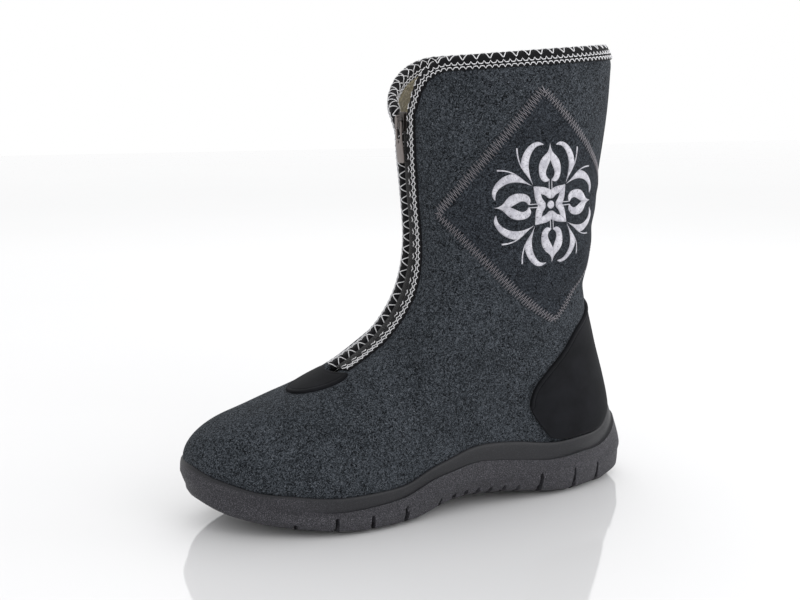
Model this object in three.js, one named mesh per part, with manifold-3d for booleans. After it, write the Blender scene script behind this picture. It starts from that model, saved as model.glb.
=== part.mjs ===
// Left felt boot: a felt upper with a front zip, closed underneath by a moulded rubber sole.
// Millimetres, +Z up, toe to -X, outer (lateral) side to -Y, standing on z = 0.
import * as THREE from "three";
import { mergeVertices } from "three/addons/utils/BufferGeometryUtils.js";
import Module from "manifold-3d";

const wasm = await Module();
wasm.setup();

// Driving sizes
const lastLength = 251; // toe to heel of the upper at its fullest level
const ballWidth = 90.5; // upper across the ball of the foot
const instepHeight = 97; // floor to the front line where the foot turns into the shaft
const bootHeight = 250; // floor to the collar at the back
const wall = 2.6; // felt
const gap = 0.4; // between two pieces that lie on each other
const broadGap = 0.5; // the same between broad curved faces
const insoleThickness = 3;
const counterThickness = 1.2;
const tabThickness = 1.1;
const patchThickness = 0.8;
const tapeThickness = 0.8; // braid that binds the edges
const bindingWidth = 6; // braid leaf on the outside
const bindingInside = 5; // braid leaf on the inside
const slitHalf = 5.3; // half the gap between the two felt edges along the zip
// Collar corners beside the zip: reach round the leg, reach down it, how far each flap parts above the zip,
// and over which rise in level.
const outerFlap = { round: 26, down: 27, parted: 2.8, over: 0.04 };
const innerFlap = { round: 46, down: 32, parted: 10, over: 0.08 };
const flapLean = 4; // how far the inner flap bends forward
const flapTurn = 50; // degrees round from the front where it starts to bend
const backPinch = 4; // how far the braid draws the back of the collar in
const pinchLevel = 0.94; // level where that starts
const zipHalf = 3.8;
const zipThickness = 1.3;
const sliderLength = 10.6;
const sliderWidth = 7.2;
const sliderThickness = 2.6;
const bridgeHeight = 3;
const bridgeThickness = 0.9;
const pullLength = 22;
const pullWidth = 7;
const pullThickness = 1;
const axisUp = 0.4; // hinge line of the pull above the middle of the slider
const columns = 48;
const centreX = 0.9; // shifts that put the origin under the middle of the boot
const centreY = 0.65;

// Sections of the upper from the feather edge to the collar. Front and back points are shares of the
// length; heights count 1 at the instep and 2 at the top of the boot. Half widths are shares of the
// ball width at the stations below, read round from the front of the section to its back.
const stations = [0, 32, 62, 98, 135, 180];
const sections = [
  { name: "feather", at: 0, frontX: -0.482, frontZ: 0.242, backX: 0.47, backZ: 0.165, dip: 0.113, swing: 0.077,
    lateral: [0.62, 0.298, 0.486, 0.376, 0.331, 0.575], medial: [0.62, 0.276, 0.436, 0.309, 0.32, 0.575] },
  { name: "rim", at: 0.067, frontX: -0.512, frontZ: 0.361, backX: 0.488, backZ: 0.371, dip: 0.072, swing: 0.077,
    lateral: [0.663, 0.331, 0.525, 0.425, 0.37, 0.64], medial: [0.663, 0.309, 0.475, 0.36, 0.36, 0.64] },
  { name: "toecrown", at: 0.12, frontX: -0.496, frontZ: 0.469, backX: 0.48, backZ: 0.536, dip: 0.046, swing: 0.066,
    lateral: [0.63, 0.304, 0.492, 0.425, 0.365, 0.63], medial: [0.63, 0.287, 0.448, 0.365, 0.354, 0.63] },
  { name: "toetop", at: 0.176, frontX: -0.45, frontZ: 0.557, backX: 0.464, backZ: 0.68, dip: 0.026, swing: 0.055,
    lateral: [0.575, 0.276, 0.436, 0.425, 0.36, 0.608], medial: [0.575, 0.26, 0.403, 0.376, 0.354, 0.608] },
  { name: "vampfront", at: 0.245, frontX: -0.367, frontZ: 0.634, backX: 0.447, backZ: 0.825, dip: 0.01, swing: 0.039,
    lateral: [0.475, 0.238, 0.381, 0.425, 0.354, 0.575], medial: [0.475, 0.227, 0.365, 0.387, 0.348, 0.575] },
  { name: "vamp", at: 0.323, frontX: -0.263, frontZ: 0.722, backX: 0.432, backZ: 0.969, dip: 0, swing: 0.028,
    lateral: [0.42, 0.225, 0.361, 0.42, 0.348, 0.541], medial: [0.42, 0.221, 0.354, 0.398, 0.343, 0.541] },
  { name: "instep", at: 0.397, frontX: -0.169, frontZ: 0.84, backX: 0.418, backZ: 1.065, dip: 0, swing: 0.017,
    lateral: [0.42, 0.232, 0.37, 0.42, 0.343, 0.519], medial: [0.398, 0.221, 0.365, 0.409, 0.343, 0.519] },
  { name: "throat", at: 0.47, frontX: -0.09, frontZ: 0.995, backX: 0.412, backZ: 1.157, dip: 0, swing: 0.006,
    lateral: [0.42, 0.243, 0.381, 0.42, 0.343, 0.508], medial: [0.354, 0.221, 0.376, 0.414, 0.343, 0.508] },
  { name: "crook", at: 0.542, frontX: -0.034, frontZ: 1.127, backX: 0.416, backZ: 1.248, dip: 0, swing: 0,
    lateral: [0.442, 0.246, 0.387, 0.423, 0.337, 0.508], medial: [0.354, 0.221, 0.376, 0.42, 0.337, 0.508] },
  { name: "ankle", at: 0.618, frontX: -0.012, frontZ: 1.281, backX: 0.424, backZ: 1.353, dip: 0, swing: 0,
    lateral: [0.508, 0.26, 0.398, 0.431, 0.337, 0.508], medial: [0.398, 0.232, 0.392, 0.431, 0.337, 0.508] },
  { name: "shaft", at: 0.725, frontX: -0.016, frontZ: 1.471, backX: 0.436, backZ: 1.529, dip: 0, swing: 0,
    lateral: [0.552, 0.282, 0.42, 0.459, 0.348, 0.519], medial: [0.464, 0.265, 0.42, 0.459, 0.348, 0.519] },
  { name: "high", at: 0.85, frontX: -0.023, frontZ: 1.693, backX: 0.453, backZ: 1.732, dip: 0, swing: 0,
    lateral: [0.597, 0.298, 0.448, 0.492, 0.365, 0.541], medial: [0.7, 0.33, 0.448, 0.492, 0.365, 0.541] },
  { name: "collar", at: 1, frontX: -0.024, frontZ: 1.935, backX: 0.465, backZ: 1.997, dip: 0, swing: 0,
    lateral: [0.62, 0.309, 0.464, 0.508, 0.376, 0.552], medial: [0.6, 0.305, 0.464, 0.508, 0.376, 0.552] },
];
const perLevel = 247; // millimetres of shaft for one unit of level near the collar
const levelOf = (mm) => mm / perLevel;
const zipFoot = 0.352; // level where the slit starts
const bindingFoot = 0.378;
const zipStart = 0.386;
const zipTop = 0.885;
const sliderLevel = 0.872;
const throatOpen = 0.887; // level where the two felt edges start to part above the slider
// The zip runs a little to the outer side over the instep.
const zipDrift = [[0, 0], [0.26, 0], [0.352, 3.2], [0.45, 4], [0.53, 2.6], [0.64, 0.8], [0.72, 0], [1, 0]];

// Floor line of the sole along the length: share of the length, height in millimetres.
const floorLine = [[-0.534, 19], [-0.498, 15], [-0.442, 9.3], [-0.39, 5.6], [-0.331, 3.2], [-0.259, 1.2],
  [-0.199, 0], [-0.072, 0], [-0.048, 0.3], [-0.02, 1.4], [0.02, 3.2], [0.072, 4.2], [0.147, 3.6],
  [0.223, 2.4], [0.279, 1], [0.327, 0], [0.446, 0], [0.498, 1], [0.534, 3]];
// Rim of the sole round the foot: degrees from the toe, height, height of the smooth band below it.
const rimLine = [[0, 37.5, 15.5], [11, 37.2, 15.5], [19, 34.7, 15], [31, 30.3, 13.5], [39, 26.8, 10.5],
  [49, 24.6, 8.2], [59, 21.9, 7.8], [74, 21.6, 6.3], [82, 23.9, 5.2], [87, 28.6, 5.6], [93, 32.5, 6.6], [99, 36.3, 8],
  [106, 37, 9.4], [113, 35.7, 10], [124, 32.3, 9.4], [137, 32.7, 8.4], [148, 34, 9], [165, 44, 10.5],
  [180, 49, 12]];
// Side wall of the sole: share of the height up to the step, then how far it stands out from the upper
// at the forefoot, the sides of the heel and the back of the heel.
const sideWall = [
  { rise: 0, fore: -2, heel: -1, tail: 11 },
  { rise: 0.16, fore: 3, heel: 4, tail: 14.5 },
  { rise: 0.5, fore: 5, heel: 6.5, tail: 11.5 },
  { rise: 1, fore: 3.8, heel: 4.8, tail: 5.5 },
];
const band = { rises: [0.1, 1], fore: 1.7, heel: 1.9, tail: 1.9, slope: 0.17, tailSlope: 0.24 };
// Notches in the side wall: share of the length, height, slant.
const notches = [[-0.43, 7, 0.05], [-0.33, 8, 0.04], [-0.25, 9, 0.02], [-0.172, 10, 0], [-0.095, 10.5, 0],
  [0.245, 12, 0.06], [0.338, 13, 0], [0.415, 12, -0.06]];
const slits = [-0.012, 0.024, 0.055, 0.086, 0.118, 0.152, 0.187];
const notchWidth = 2.6;

const degrees = Math.PI / 180;
const ease = (t) => { const c = Math.min(1, Math.max(0, t)); return c * c * (3 - 2 * c); };

// A cubic spline through the points, with free ends or level ones.
function spline(xs, ys, level) {
  const n = xs.length - 1;
  const a = [], b = [], c = [], r = [];
  for (let i = 0; i <= n; i++) {
    const before = i > 0 ? xs[i] - xs[i - 1] : 0;
    const after = i < n ? xs[i + 1] - xs[i] : 0;
    const slopeBefore = i > 0 ? (ys[i] - ys[i - 1]) / before : 0;
    const slopeAfter = i < n ? (ys[i + 1] - ys[i]) / after : 0;
    const end = i === 0 || i === n;
    a.push(end && !level ? 0 : before);
    b.push(end && !level ? 1 : 2 * (before + after));
    c.push(end && !level ? 0 : after);
    r.push(end && !level ? 0 : 6 * (slopeAfter - slopeBefore));
  }
  for (let i = 1; i <= n; i++) {
    const w = a[i] / b[i - 1];
    b[i] -= w * c[i - 1];
    r[i] -= w * r[i - 1];
  }
  const m = new Array(n + 1);
  m[n] = r[n] / b[n];
  for (let i = n - 1; i >= 0; i--) m[i] = (r[i] - c[i] * m[i + 1]) / b[i];
  return (x) => {
    let i = 0;
    while (i < n - 1 && x > xs[i + 1]) i++;
    const h = xs[i + 1] - xs[i], t = x - xs[i], u = xs[i + 1] - x;
    return (m[i] * u ** 3 + m[i + 1] * t ** 3) / (6 * h)
      + (ys[i] / h - (m[i] * h) / 6) * u + (ys[i + 1] / h - (m[i + 1] * h) / 6) * t;
  };
}

// Straight lines between the rows of a table.
function along(table, x, column = 1) {
  let i = 0;
  while (i < table.length - 2 && x > table[i + 1][0]) i++;
  const t = Math.min(1, Math.max(0, (x - table[i][0]) / (table[i + 1][0] - table[i][0])));
  return table[i][column] + (table[i + 1][column] - table[i][column]) * t;
}

const heightOf = (share) =>
  share <= 1 ? share * instepHeight : instepHeight + (share - 1) * (bootHeight - instepHeight);
const levels = sections.map((s) => s.at);
const column = (pick) => spline(levels, sections.map(pick), false);
const shape = {
  frontX: column((s) => s.frontX * lastLength), frontZ: column((s) => heightOf(s.frontZ)),
  backX: column((s) => s.backX * lastLength), backZ: column((s) => heightOf(s.backZ)),
  dip: column((s) => s.dip * instepHeight), swing: column((s) => s.swing * ballWidth),
  lateral: stations.map((_, i) => column((s) => s.lateral[i] * ballWidth)),
  medial: stations.map((_, i) => column((s) => s.medial[i] * ballWidth)),
};

const cuts = new Map();
function cut(v) {
  if (!cuts.has(v)) {
    const widths = (columnsOf) => spline(stations, columnsOf.map((f, i) => {
      const end = i === 0 || i === stations.length - 1;
      return f(v) / (end ? 1 : Math.sin(stations[i] * degrees));
    }), true);
    cuts.set(v, {
      frontX: shape.frontX(v), frontZ: shape.frontZ(v), backX: shape.backX(v), backZ: shape.backZ(v),
      dip: shape.dip(v), swing: shape.swing(v), lateral: widths(shape.lateral), medial: widths(shape.medial),
    });
  }
  return cuts.get(v);
}

// Outside of the upper at level v and angle th, 0 at the front and positive to the outer side.
function face(v, th) {
  const s = cut(v);
  let d = ((th / degrees) % 360 + 360) % 360;
  const outer = d <= 180;
  if (!outer) d = 360 - d;
  const f = (1 + Math.cos(th)) / 2;
  const half = Math.abs(Math.sin(th)) * (outer ? -s.lateral(d) : s.medial(d));
  const lean = outer ? 0 : flapLean * ease((v - zipTop) / 0.05) * ease(1 - d / flapTurn);
  const pinch = backPinch * (1 - f) * Math.max(0, (v - pinchLevel) / (1 - pinchLevel)) ** 2;
  return new THREE.Vector3(
    s.backX + (s.frontX - s.backX) * f - centreX - lean - pinch,
    half + s.swing * f * f - centreY,
    s.backZ + (s.frontZ - s.backZ) * f - s.dip * 6.75 * f * f * (1 - f),
  );
}

// The same point moved out along the face's normal.
function skin(v, th, out = 0) {
  const p = face(v, th);
  if (!out) return p;
  const dv = 0.004, dt = 0.01;
  const across = face(v, th + dt).sub(face(v, th - dt));
  const up = face(Math.min(1, v + dv), th).sub(face(Math.max(0, v - dv), th));
  return p.addScaledVector(across.cross(up).normalize(), out);
}

// Angle at level v that lies s millimetres round from the front line, positive to the outer side.
const rounds = new Map();
function angleAt(v, s) {
  const key = v + (s < 0 ? "m" : "l");
  if (!rounds.has(key)) {
    const table = [[0, 0]];
    let last = face(v, 0);
    for (let i = 1; i <= 120; i++) {
      const th = (s < 0 ? -1 : 1) * (i / 120) * Math.PI;
      const p = face(v, th);
      table.push([table[i - 1][0] + p.distanceTo(last), th]);
      last = p;
    }
    rounds.set(key, table);
  }
  return along(rounds.get(key), Math.abs(s));
}

// A closed solid from grids of points. Each grid is rows of points, joined by pairs of triangles.
function solid(...grids) {
  const corners = [];
  const add = (a, b, c) => {
    if (a.distanceTo(b) < 2e-3 || b.distanceTo(c) < 2e-3 || c.distanceTo(a) < 2e-3) return;
    for (const p of [a, b, c]) corners.push(p.x, p.y, p.z);
  };
  for (const rows of grids)
    for (let i = 0; i + 1 < rows.length; i++)
      for (let j = 0; j + 1 < rows[i].length; j++) {
        add(rows[i][j], rows[i][j + 1], rows[i + 1][j + 1]);
        add(rows[i][j], rows[i + 1][j + 1], rows[i + 1][j]);
      }
  const geometry = new THREE.BufferGeometry();
  geometry.setAttribute("position", new THREE.BufferAttribute(new Float32Array(corners), 3));
  const merged = mergeVertices(geometry, 1e-3);
  const make = (order) => new wasm.Manifold(new wasm.Mesh({
    numProp: 3,
    vertProperties: merged.attributes.position.array,
    triVerts: order,
  }));
  const triangles = new Uint32Array(merged.index.array);
  const made = make(triangles);
  if (made.volume() > 0) return made;
  for (let i = 0; i < triangles.length; i += 3)
    [triangles[i + 1], triangles[i + 2]] = [triangles[i + 2], triangles[i + 1]];
  return make(triangles);
}

// A closed three.js geometry as a solid.
function solidFrom(geometry) {
  const bare = geometry.index ? geometry.toNonIndexed() : geometry.clone();
  bare.deleteAttribute("normal");
  bare.deleteAttribute("uv");
  const merged = mergeVertices(bare, 1e-3);
  return new wasm.Manifold(new wasm.Mesh({
    numProp: 3,
    vertProperties: merged.attributes.position.array,
    triVerts: new Uint32Array(merged.index.array),
  }));
}

// An outline in X and Z, extruded across the foot between two Y values.
function slab(outline, y0, y1) {
  const geometry = new THREE.ExtrudeGeometry(
    new THREE.Shape(outline.map(([x, z]) => new THREE.Vector2(x, z))),
    { depth: Math.abs(y1 - y0), bevelEnabled: false });
  geometry.rotateX(Math.PI / 2).translate(0, Math.max(y0, y1), 0);
  return solidFrom(geometry);
}

// A sheet between two faces, given as rows of points each, closed round its four edges.
function sheet(outer, inner) {
  const first = (rows, j) => rows.map((r) => r.at(j));
  const flipped = inner.map((r) => [...r].reverse());
  return solid(outer, flipped,
    [inner[0], outer[0]], [outer.at(-1), inner.at(-1)],
    [first(outer, 0), first(inner, 0)], [first(inner, -1), first(outer, -1)]);
}

function sweep(stationsOf, loopOf, capQuads) {
  const loops = stationsOf.map(loopOf);
  const rows = loops.map((l) => [...l, l[0]]);
  const caps = (l, turn) => capQuads.map((q) => {
    const [a, b, c, d] = q.map((i) => l[i]);
    return turn ? [[a, b], [d, c]] : [[a, d], [b, c]];
  });
  return solid(rows, ...caps(loops[0], false), ...caps(loops.at(-1), true));
}

const group = new THREE.Group();
function add(name, made, look, parent = group) {
  const m = made.getMesh();
  const positions = new Float32Array(m.numVert * 3);
  for (let i = 0; i < m.numVert; i++)
    for (let k = 0; k < 3; k++) positions[i * 3 + k] = m.vertProperties[i * m.numProp + k];
  const geometry = new THREE.BufferGeometry();
  geometry.setAttribute("position", new THREE.BufferAttribute(positions, 3));
  geometry.setIndex(new THREE.BufferAttribute(m.triVerts, 1));
  geometry.computeVertexNormals();
  const mesh = new THREE.Mesh(geometry, look);
  mesh.name = name;
  parent.add(mesh);
}
const look = (color, roughness, metalness = 0) =>
  new THREE.MeshStandardMaterial({ color, roughness, metalness });
const felt = look(0x33373b, 0.95);
const rubber = look(0x38393d, 0.6);
const nubuck = look(0x27282c, 0.8);
const braid = look(0x1d1e22, 0.7);
const metal = look(0x7d7673, 0.35, 1);
const fleece = look(0xb9b094, 1);

// Gap between the middle of the zip and the felt edge of one flap at level v.
function slitAt(v, flap) {
  if (v <= zipFoot) return 0;
  const mouth = slitHalf * Math.min(1, 0.78 + 0.22 * (v - zipFoot) / 0.03);
  const parted = flap.parted * ease((v - throatOpen) / flap.over);
  const corner = Math.max(0, 1 - ((1 - v) * perLevel) / flap.down); // 0 below the corner, 1 at the collar
  return mouth + parted + flap.round * (1 - Math.sqrt(1 - corner ** 2));
}
function edgesAt(v) {
  const drift = along(zipDrift, v);
  return [angleAt(v, drift + slitAt(v, outerFlap)), 2 * Math.PI + angleAt(v, drift - slitAt(v, innerFlap) - 1e-9)];
}

// Upper
const cornerLevels = [27, 23, 18.5, 14, 10, 6.5, 3.5, 1.4, 0.3, 0].map((mm) => 1 - levelOf(mm));
const upperLevels = [0, 0.05, 0.1, 0.15, 0.2, 0.25, 0.3, zipFoot, 0.366, 0.39, 0.425,
  0.46, 0.495, 0.53, 0.565, 0.6, 0.65, 0.72, 0.79, 0.85, 0.883, ...cornerLevels];
function upperFace(out) {
  return upperLevels.map((v) => {
    const [from, to] = edgesAt(v);
    return Array.from({ length: columns + 1 }, (_, j) => {
      const turn = v <= zipFoot && j === columns ? 0 : j;
      return skin(v, from + ((to - from) * turn) / columns, out);
    });
  });
}
const outside = upperFace(0), inside = upperFace(-wall);
const open = upperLevels.indexOf(zipFoot);
add("upper", solid(
  outside, inside.map((r) => [...r].reverse()),
  [inside[0], outside[0]], [outside.at(-1), inside.at(-1)],
  [outside.slice(open).map((r) => r[0]), inside.slice(open).map((r) => r[0])],
  [inside.slice(open).map((r) => r.at(-1)), outside.slice(open).map((r) => r.at(-1))],
), felt);

// Sole
const turns = Array.from({ length: columns + 1 }, (_, j) => ((j % columns) / columns) * 2 * Math.PI);
const fold = (th) => Math.min(th, 2 * Math.PI - th) / degrees;
const rimSpline = spline(rimLine.map((r) => r[0]), rimLine.map((r) => r[1]), true);
const rimHeight = (th) => rimSpline(fold(th));
const stepHeight = (th) => rimHeight(th) - along(rimLine, fold(th), 2);
function levelAtHeight(th, z) {
  let low = 0, high = 0.45;
  if (face(0, th).z > z) return 0;
  for (let i = 0; i < 26; i++) {
    const mid = (low + high) / 2;
    if (face(mid, th).z < z) low = mid;
    else high = mid;
  }
  return (low + high) / 2;
}
function standOut(row, th) {
  const side = ease((fold(th) - 100) / 40), back = ease((fold(th) - 145) / 30);
  return row.fore + (row.heel - row.fore) * side + (row.tail - row.heel) * back;
}
// Points round the foot at the given heights, moved out level from the upper's outline.
function ring(heightAt, outAt) {
  const base = turns.map((th) => {
    const p = face(levelAtHeight(th, heightAt(th)), th);
    return p.setZ(heightAt(th));
  });
  return base.map((p, j) => {
    const next = base[(j % columns) + 1], before = base[(j + columns - 1) % columns];
    const d = next.clone().sub(before).setZ(0).normalize();
    const out = outAt(turns[j]);
    return new THREE.Vector3(p.x + d.y * out, p.y - d.x * out, p.z);
  });
}
const floorAt = (x) => Math.max(0, along(floorLine, (x + centreX) / lastLength));
function wallRing(row) {
  const flat = ring(() => 20, (th) => standOut(row, th));
  const height = turns.map((th, j) => {
    const low = floorAt(flat[j].x);
    return low + (stepHeight(th) - low) * row.rise;
  });
  return ring((th) => height[turns.indexOf(th)], (th) => standOut(row, th)).map((p) =>
    row.rise === 0 ? p.setZ(floorAt(p.x)) : p);
}
const bandRing = (rise) => ring(
  (th) => stepHeight(th) + (rimHeight(th) - stepHeight(th)) * rise,
  (th) => {
    const slope = band.slope + (band.tailSlope - band.slope) * ease((fold(th) - 145) / 30);
    return standOut(band, th) + slope * (rimHeight(th) - stepHeight(th)) * (1 - rise);
  });
const rimLevels = turns.map((th) => levelAtHeight(th, rimHeight(th)));
const cupRing = (share) => turns.map((th, j) => skin(rimLevels[j] * share, th, broadGap));
const footbed = turns.map((th) => { const p = skin(0, th, broadGap); return p.setZ(face(0, th).z - gap); });
const rings = [...sideWall.map(wallRing), ...band.rises.map(bandRing), cupRing(1), cupRing(0.66), cupRing(0.33),
  cupRing(0), footbed];
// Joins the two sides of a ring by rows across the foot.
const across = (r) => Array.from({ length: columns / 2 + 1 }, (_, j) => [r[j], r[(columns - j) % columns]]);
let sole = solid(rings, across(rings[0]), across(footbed).map((r) => [...r].reverse()));
function wedge(x, low, high, foot, head, slant, y0, y1) {
  const tip = slant * (high - low);
  return slab([[x - foot / 2, low], [x + foot / 2, low], [x + head / 2 + tip, high], [x - head / 2 + tip, high]],
    y0, y1);
}
function sideAt(x, y) {
  let best = 0;
  for (const p of rings[2]) if (Math.sign(p.y) === y && Math.abs(p.x - x) < 6) best = Math.max(best, Math.abs(p.y));
  return best;
}
const cutters = [];
for (const [share, high, slant] of notches) {
  const x = share * lastLength - centreX, low = floorAt(x);
  cutters.push(wedge(x, low - 3, low + 2.2, notchWidth, notchWidth * 0.7, 0, -70, 70));
  for (const y of [-1, 1])
    cutters.push(wedge(x, low - 3, low + high, notchWidth, 0.25, slant * y * -1, y * (sideAt(x, y) - 5.5), y * 75));
}
for (const share of slits) {
  const x = share * lastLength - centreX, low = floorAt(x);
  for (const y of [-1, 1])
    cutters.push(wedge(x, low + 1.6, low + 5.4, 1.5, 0.6, 0.35, y * (sideAt(x, y) - 6.5), y * 75));
}
for (const c of cutters) sole = sole.subtract(c);
add("sole", sole, rubber);

// Insole
const insoleRing = (lift) => turns.map((th) => {
  const p = skin(0, th, -wall - 0.6);
  return p.setZ(face(0, th).z + lift);
});
const insoleRings = [insoleRing(0), insoleRing(insoleThickness)];
const insoleTop = across(insoleRings[1]).map((r) => [...r].reverse());
add("insole", solid(insoleRings, across(insoleRings[0]), insoleTop), fleece);

// Heel counter: degrees round from the front, level of its lower and upper edge.
const counterEdge = [[117.1, 0.146, 0.156], [118, 0.128, 0.186], [120.8, 0.098, 0.22], [124.3, 0.07, 0.25],
  [130.6, 0.06, 0.298], [137.3, 0.06, 0.344], [145, 0.06, 0.365], [153, 0.06, 0.378], [180, 0.06, 0.402]];
const counterTurns = [117.1, 118, 120.8, ...Array.from({ length: 16 }, (_, i) => 124.3 + (55.7 * i) / 15)];
const counterColumns = [...counterTurns, ...counterTurns.slice(0, -1).reverse().map((d) => 360 - d)];
function counterFace(out) {
  return Array.from({ length: 5 }, (_, i) => counterColumns.map((d) => {
    const side = Math.min(d, 360 - d), th = d * degrees;
    const rim = levelAtHeight(th, rimHeight(th) + 1.2);
    const low = Math.max(along(counterEdge, side, 1), side > 122 ? rim : 0), high = along(counterEdge, side, 2);
    return skin(low + ((high - low) * i) / 4, th, out);
  }));
}
add("heel_counter", sheet(counterFace(broadGap + counterThickness), counterFace(broadGap)), nubuck);

// Tab over the foot of the zip: level, half width in millimetres.
const tabOutline = [[0.304, 4], [0.31, 10], [0.32, 15], [0.333, 17.5], [0.348, 17], [0.361, 15], [0.37, 12.5]];
function tabFace(out) {
  return tabOutline.map(([v, half]) => Array.from({ length: 9 }, (_, j) =>
    skin(v, angleAt(v, along(zipDrift, v) + 1 + half * (1 - j / 4)), out)));
}
add("zip_tab", sheet(tabFace(gap + tabThickness), tabFace(gap)), nubuck);

// Diamond patch on the outer side: its middle line as level and degrees, and its half diagonals.
const patchLine = [[0.405, 119], [0.691, 99.2], [0.926, 87.3]];
const patchCentre = 0.672;
const patchHigh = 0.256;
const patchLow = 0.267;
const patchReach = 63.5;
const patchTilt = 0.023; // rise of its left corner and drop of its right one, in level
function patchFace(out) {
  const steps = 15;
  return Array.from({ length: steps }, (_, i) => Array.from({ length: steps }, (_, j) => {
    const a = i / (steps - 1), b = j / (steps - 1); // along the two sides of the diamond
    const up = a + b - 1, sideways = b - a;
    const v = patchCentre - patchTilt * sideways + (up > 0 ? up * patchHigh : up * patchLow);
    const middle = along(patchLine, v) * degrees;
    const half = angleAt(v, 1e6), arc = arcTo(v, middle) + sideways * patchReach;
    const whole = arcTo(v, half), past = arcTo(v, -Math.PI) - (arc - whole);
    return skin(v, arc <= whole ? angleAt(v, arc) : 2 * Math.PI + angleAt(v, -past), out);
  }));
}
function arcTo(v, th) {
  angleAt(v, th < 0 ? -1 : 1);
  const table = rounds.get(v + (th < 0 ? "m" : "l")).map(([s, t]) => [Math.abs(t), s]);
  return along(table, Math.abs(th));
}
add("side_patch", sheet(patchFace(broadGap + patchThickness), patchFace(broadGap)), felt);

// Binding folded over the zip edges and the collar
// Way into the felt, square to the edge of the flap: down the leg and round it.
function slipAt(v, flap) {
  if (v === 1) return [1, 0];
  const step = 0.001, high = Math.min(1, v + step);
  const slope = (slitAt(high, flap) - slitAt(v - step, flap)) / ((high - v + step) * perLevel);
  return [slope / Math.hypot(slope, 1), 1 / Math.hypot(slope, 1)];
}
const legLevels = [bindingFoot, ...upperLevels.filter((v) => v > bindingFoot + 0.004)];
const legOf = (flap, side) => legLevels.map((v) => ({ v, side, flap, slip: slipAt(v, flap) }));
const [collarFrom, collarTo] = edgesAt(1);
const collarRun = Array.from({ length: columns - 1 }, (_, j) =>
  ({ turn: collarFrom + ((collarTo - collarFrom) * (j + 1)) / columns }));
const bindingPath = [...legOf(outerFlap, 1), ...collarRun, ...legOf(innerFlap, -1).reverse()];
function bindingPoint(s, inward, out) {
  if (s.turn !== undefined) return skin(1 - levelOf(Math.max(0, inward)), s.turn, out)
    .add(new THREE.Vector3(0, 0, Math.max(0, -inward)));
  const v = s.v - levelOf(Math.max(inward, 0) * s.slip[0]);
  const arc = along(zipDrift, s.v) + s.side * (slitAt(s.v, s.flap) + inward * s.slip[1]);
  const p = skin(Math.min(1, v), angleAt(Math.min(1, v), arc), out);
  return inward < 0 ? p.add(new THREE.Vector3(0, 0, -inward * s.slip[0])) : p;
}
const foldOut = broadGap + tapeThickness;
const bindingLoop = (s) => [
  [bindingWidth, broadGap], [bindingWidth, foldOut], [bindingWidth / 2, foldOut], [-foldOut, foldOut],
  [-foldOut, -wall - foldOut], [bindingInside, -wall - foldOut], [bindingInside, -wall - broadGap],
  [-broadGap, -wall - broadGap], [-broadGap, broadGap], [bindingWidth / 2, broadGap],
].map(([inward, out]) => bindingPoint(s, inward, out));
add("edge_binding", sweep(bindingPath, bindingLoop,
  [[0, 1, 2, 9], [9, 2, 3, 8], [8, 3, 4, 7], [7, 4, 5, 6]]), braid);

// Zip
const zipLevels = [zipStart, ...upperLevels.filter((v) => v > zipStart + 0.004 && v < zipTop - 0.004), zipTop];
function zipFace(out) {
  return zipLevels.map((v) => [1, 0.33, -0.33, -1].map((k) =>
    skin(v, angleAt(v, along(zipDrift, v) + k * zipHalf), out)));
}
const zipOut = -0.9;
add("zip_tape", sheet(zipFace(zipOut), zipFace(zipOut - zipThickness)), braid);

// Slider and its pull, in a frame on the zip: -X outward, Z up along the zip
const seat = face(sliderLevel, 0);
const zipUp = face(sliderLevel + 0.02, 0).sub(face(sliderLevel - 0.02, 0)).normalize();
const zipFrame = new THREE.Group();
zipFrame.position.copy(seat);
zipFrame.rotation.y = Math.atan2(zipUp.x, zipUp.z);
group.add(zipFrame);
const block = (out0, out1, half, z0, z1) => slab([[-out0, z0], [-out0, z1], [-out1, z1], [-out1, z0]], -half, half);
const sliderBase = zipOut + gap;
const sliderTop = sliderBase + sliderThickness;
const bridgeTop = sliderTop + bridgeHeight;
const axisOut = (sliderTop + bridgeTop - bridgeThickness) / 2 + 0.1; // hinge line, out from the felt
const bridgeHalf = sliderLength * 0.35;
const slider = slab([[-sliderBase, -sliderLength / 2], [-sliderBase, sliderLength / 2],
  [-sliderTop, sliderLength / 2 - 1], [-sliderTop, -sliderLength / 2 + 1.6]], -sliderWidth / 2, sliderWidth / 2)
  .add(block(sliderTop - 0.8, bridgeTop, 0.9, bridgeHalf - 1.2, bridgeHalf))
  .add(block(sliderTop - 0.8, bridgeTop, 0.9, -bridgeHalf, -bridgeHalf + 1.2))
  .add(block(bridgeTop - bridgeThickness, bridgeTop, 0.9, -bridgeHalf, bridgeHalf));
add("zip_slider", slider, metal, zipFrame);
const pullHalf = pullWidth / 2;
const plate = pullThickness / 2;
const pullFoot = axisUp - pullLength;
add("zip_pull", block(axisOut - plate, axisOut + plate, pullHalf, pullFoot, axisUp + plate)
  .subtract(block(axisOut - 3, axisOut + 3, pullHalf - 1.5, axisUp - 5.4, axisUp - plate))
  .subtract(block(axisOut - 3, axisOut + 3, pullHalf - 1.8, pullFoot + 2, pullFoot + 6.5)), metal, zipFrame);

export default group;
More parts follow.
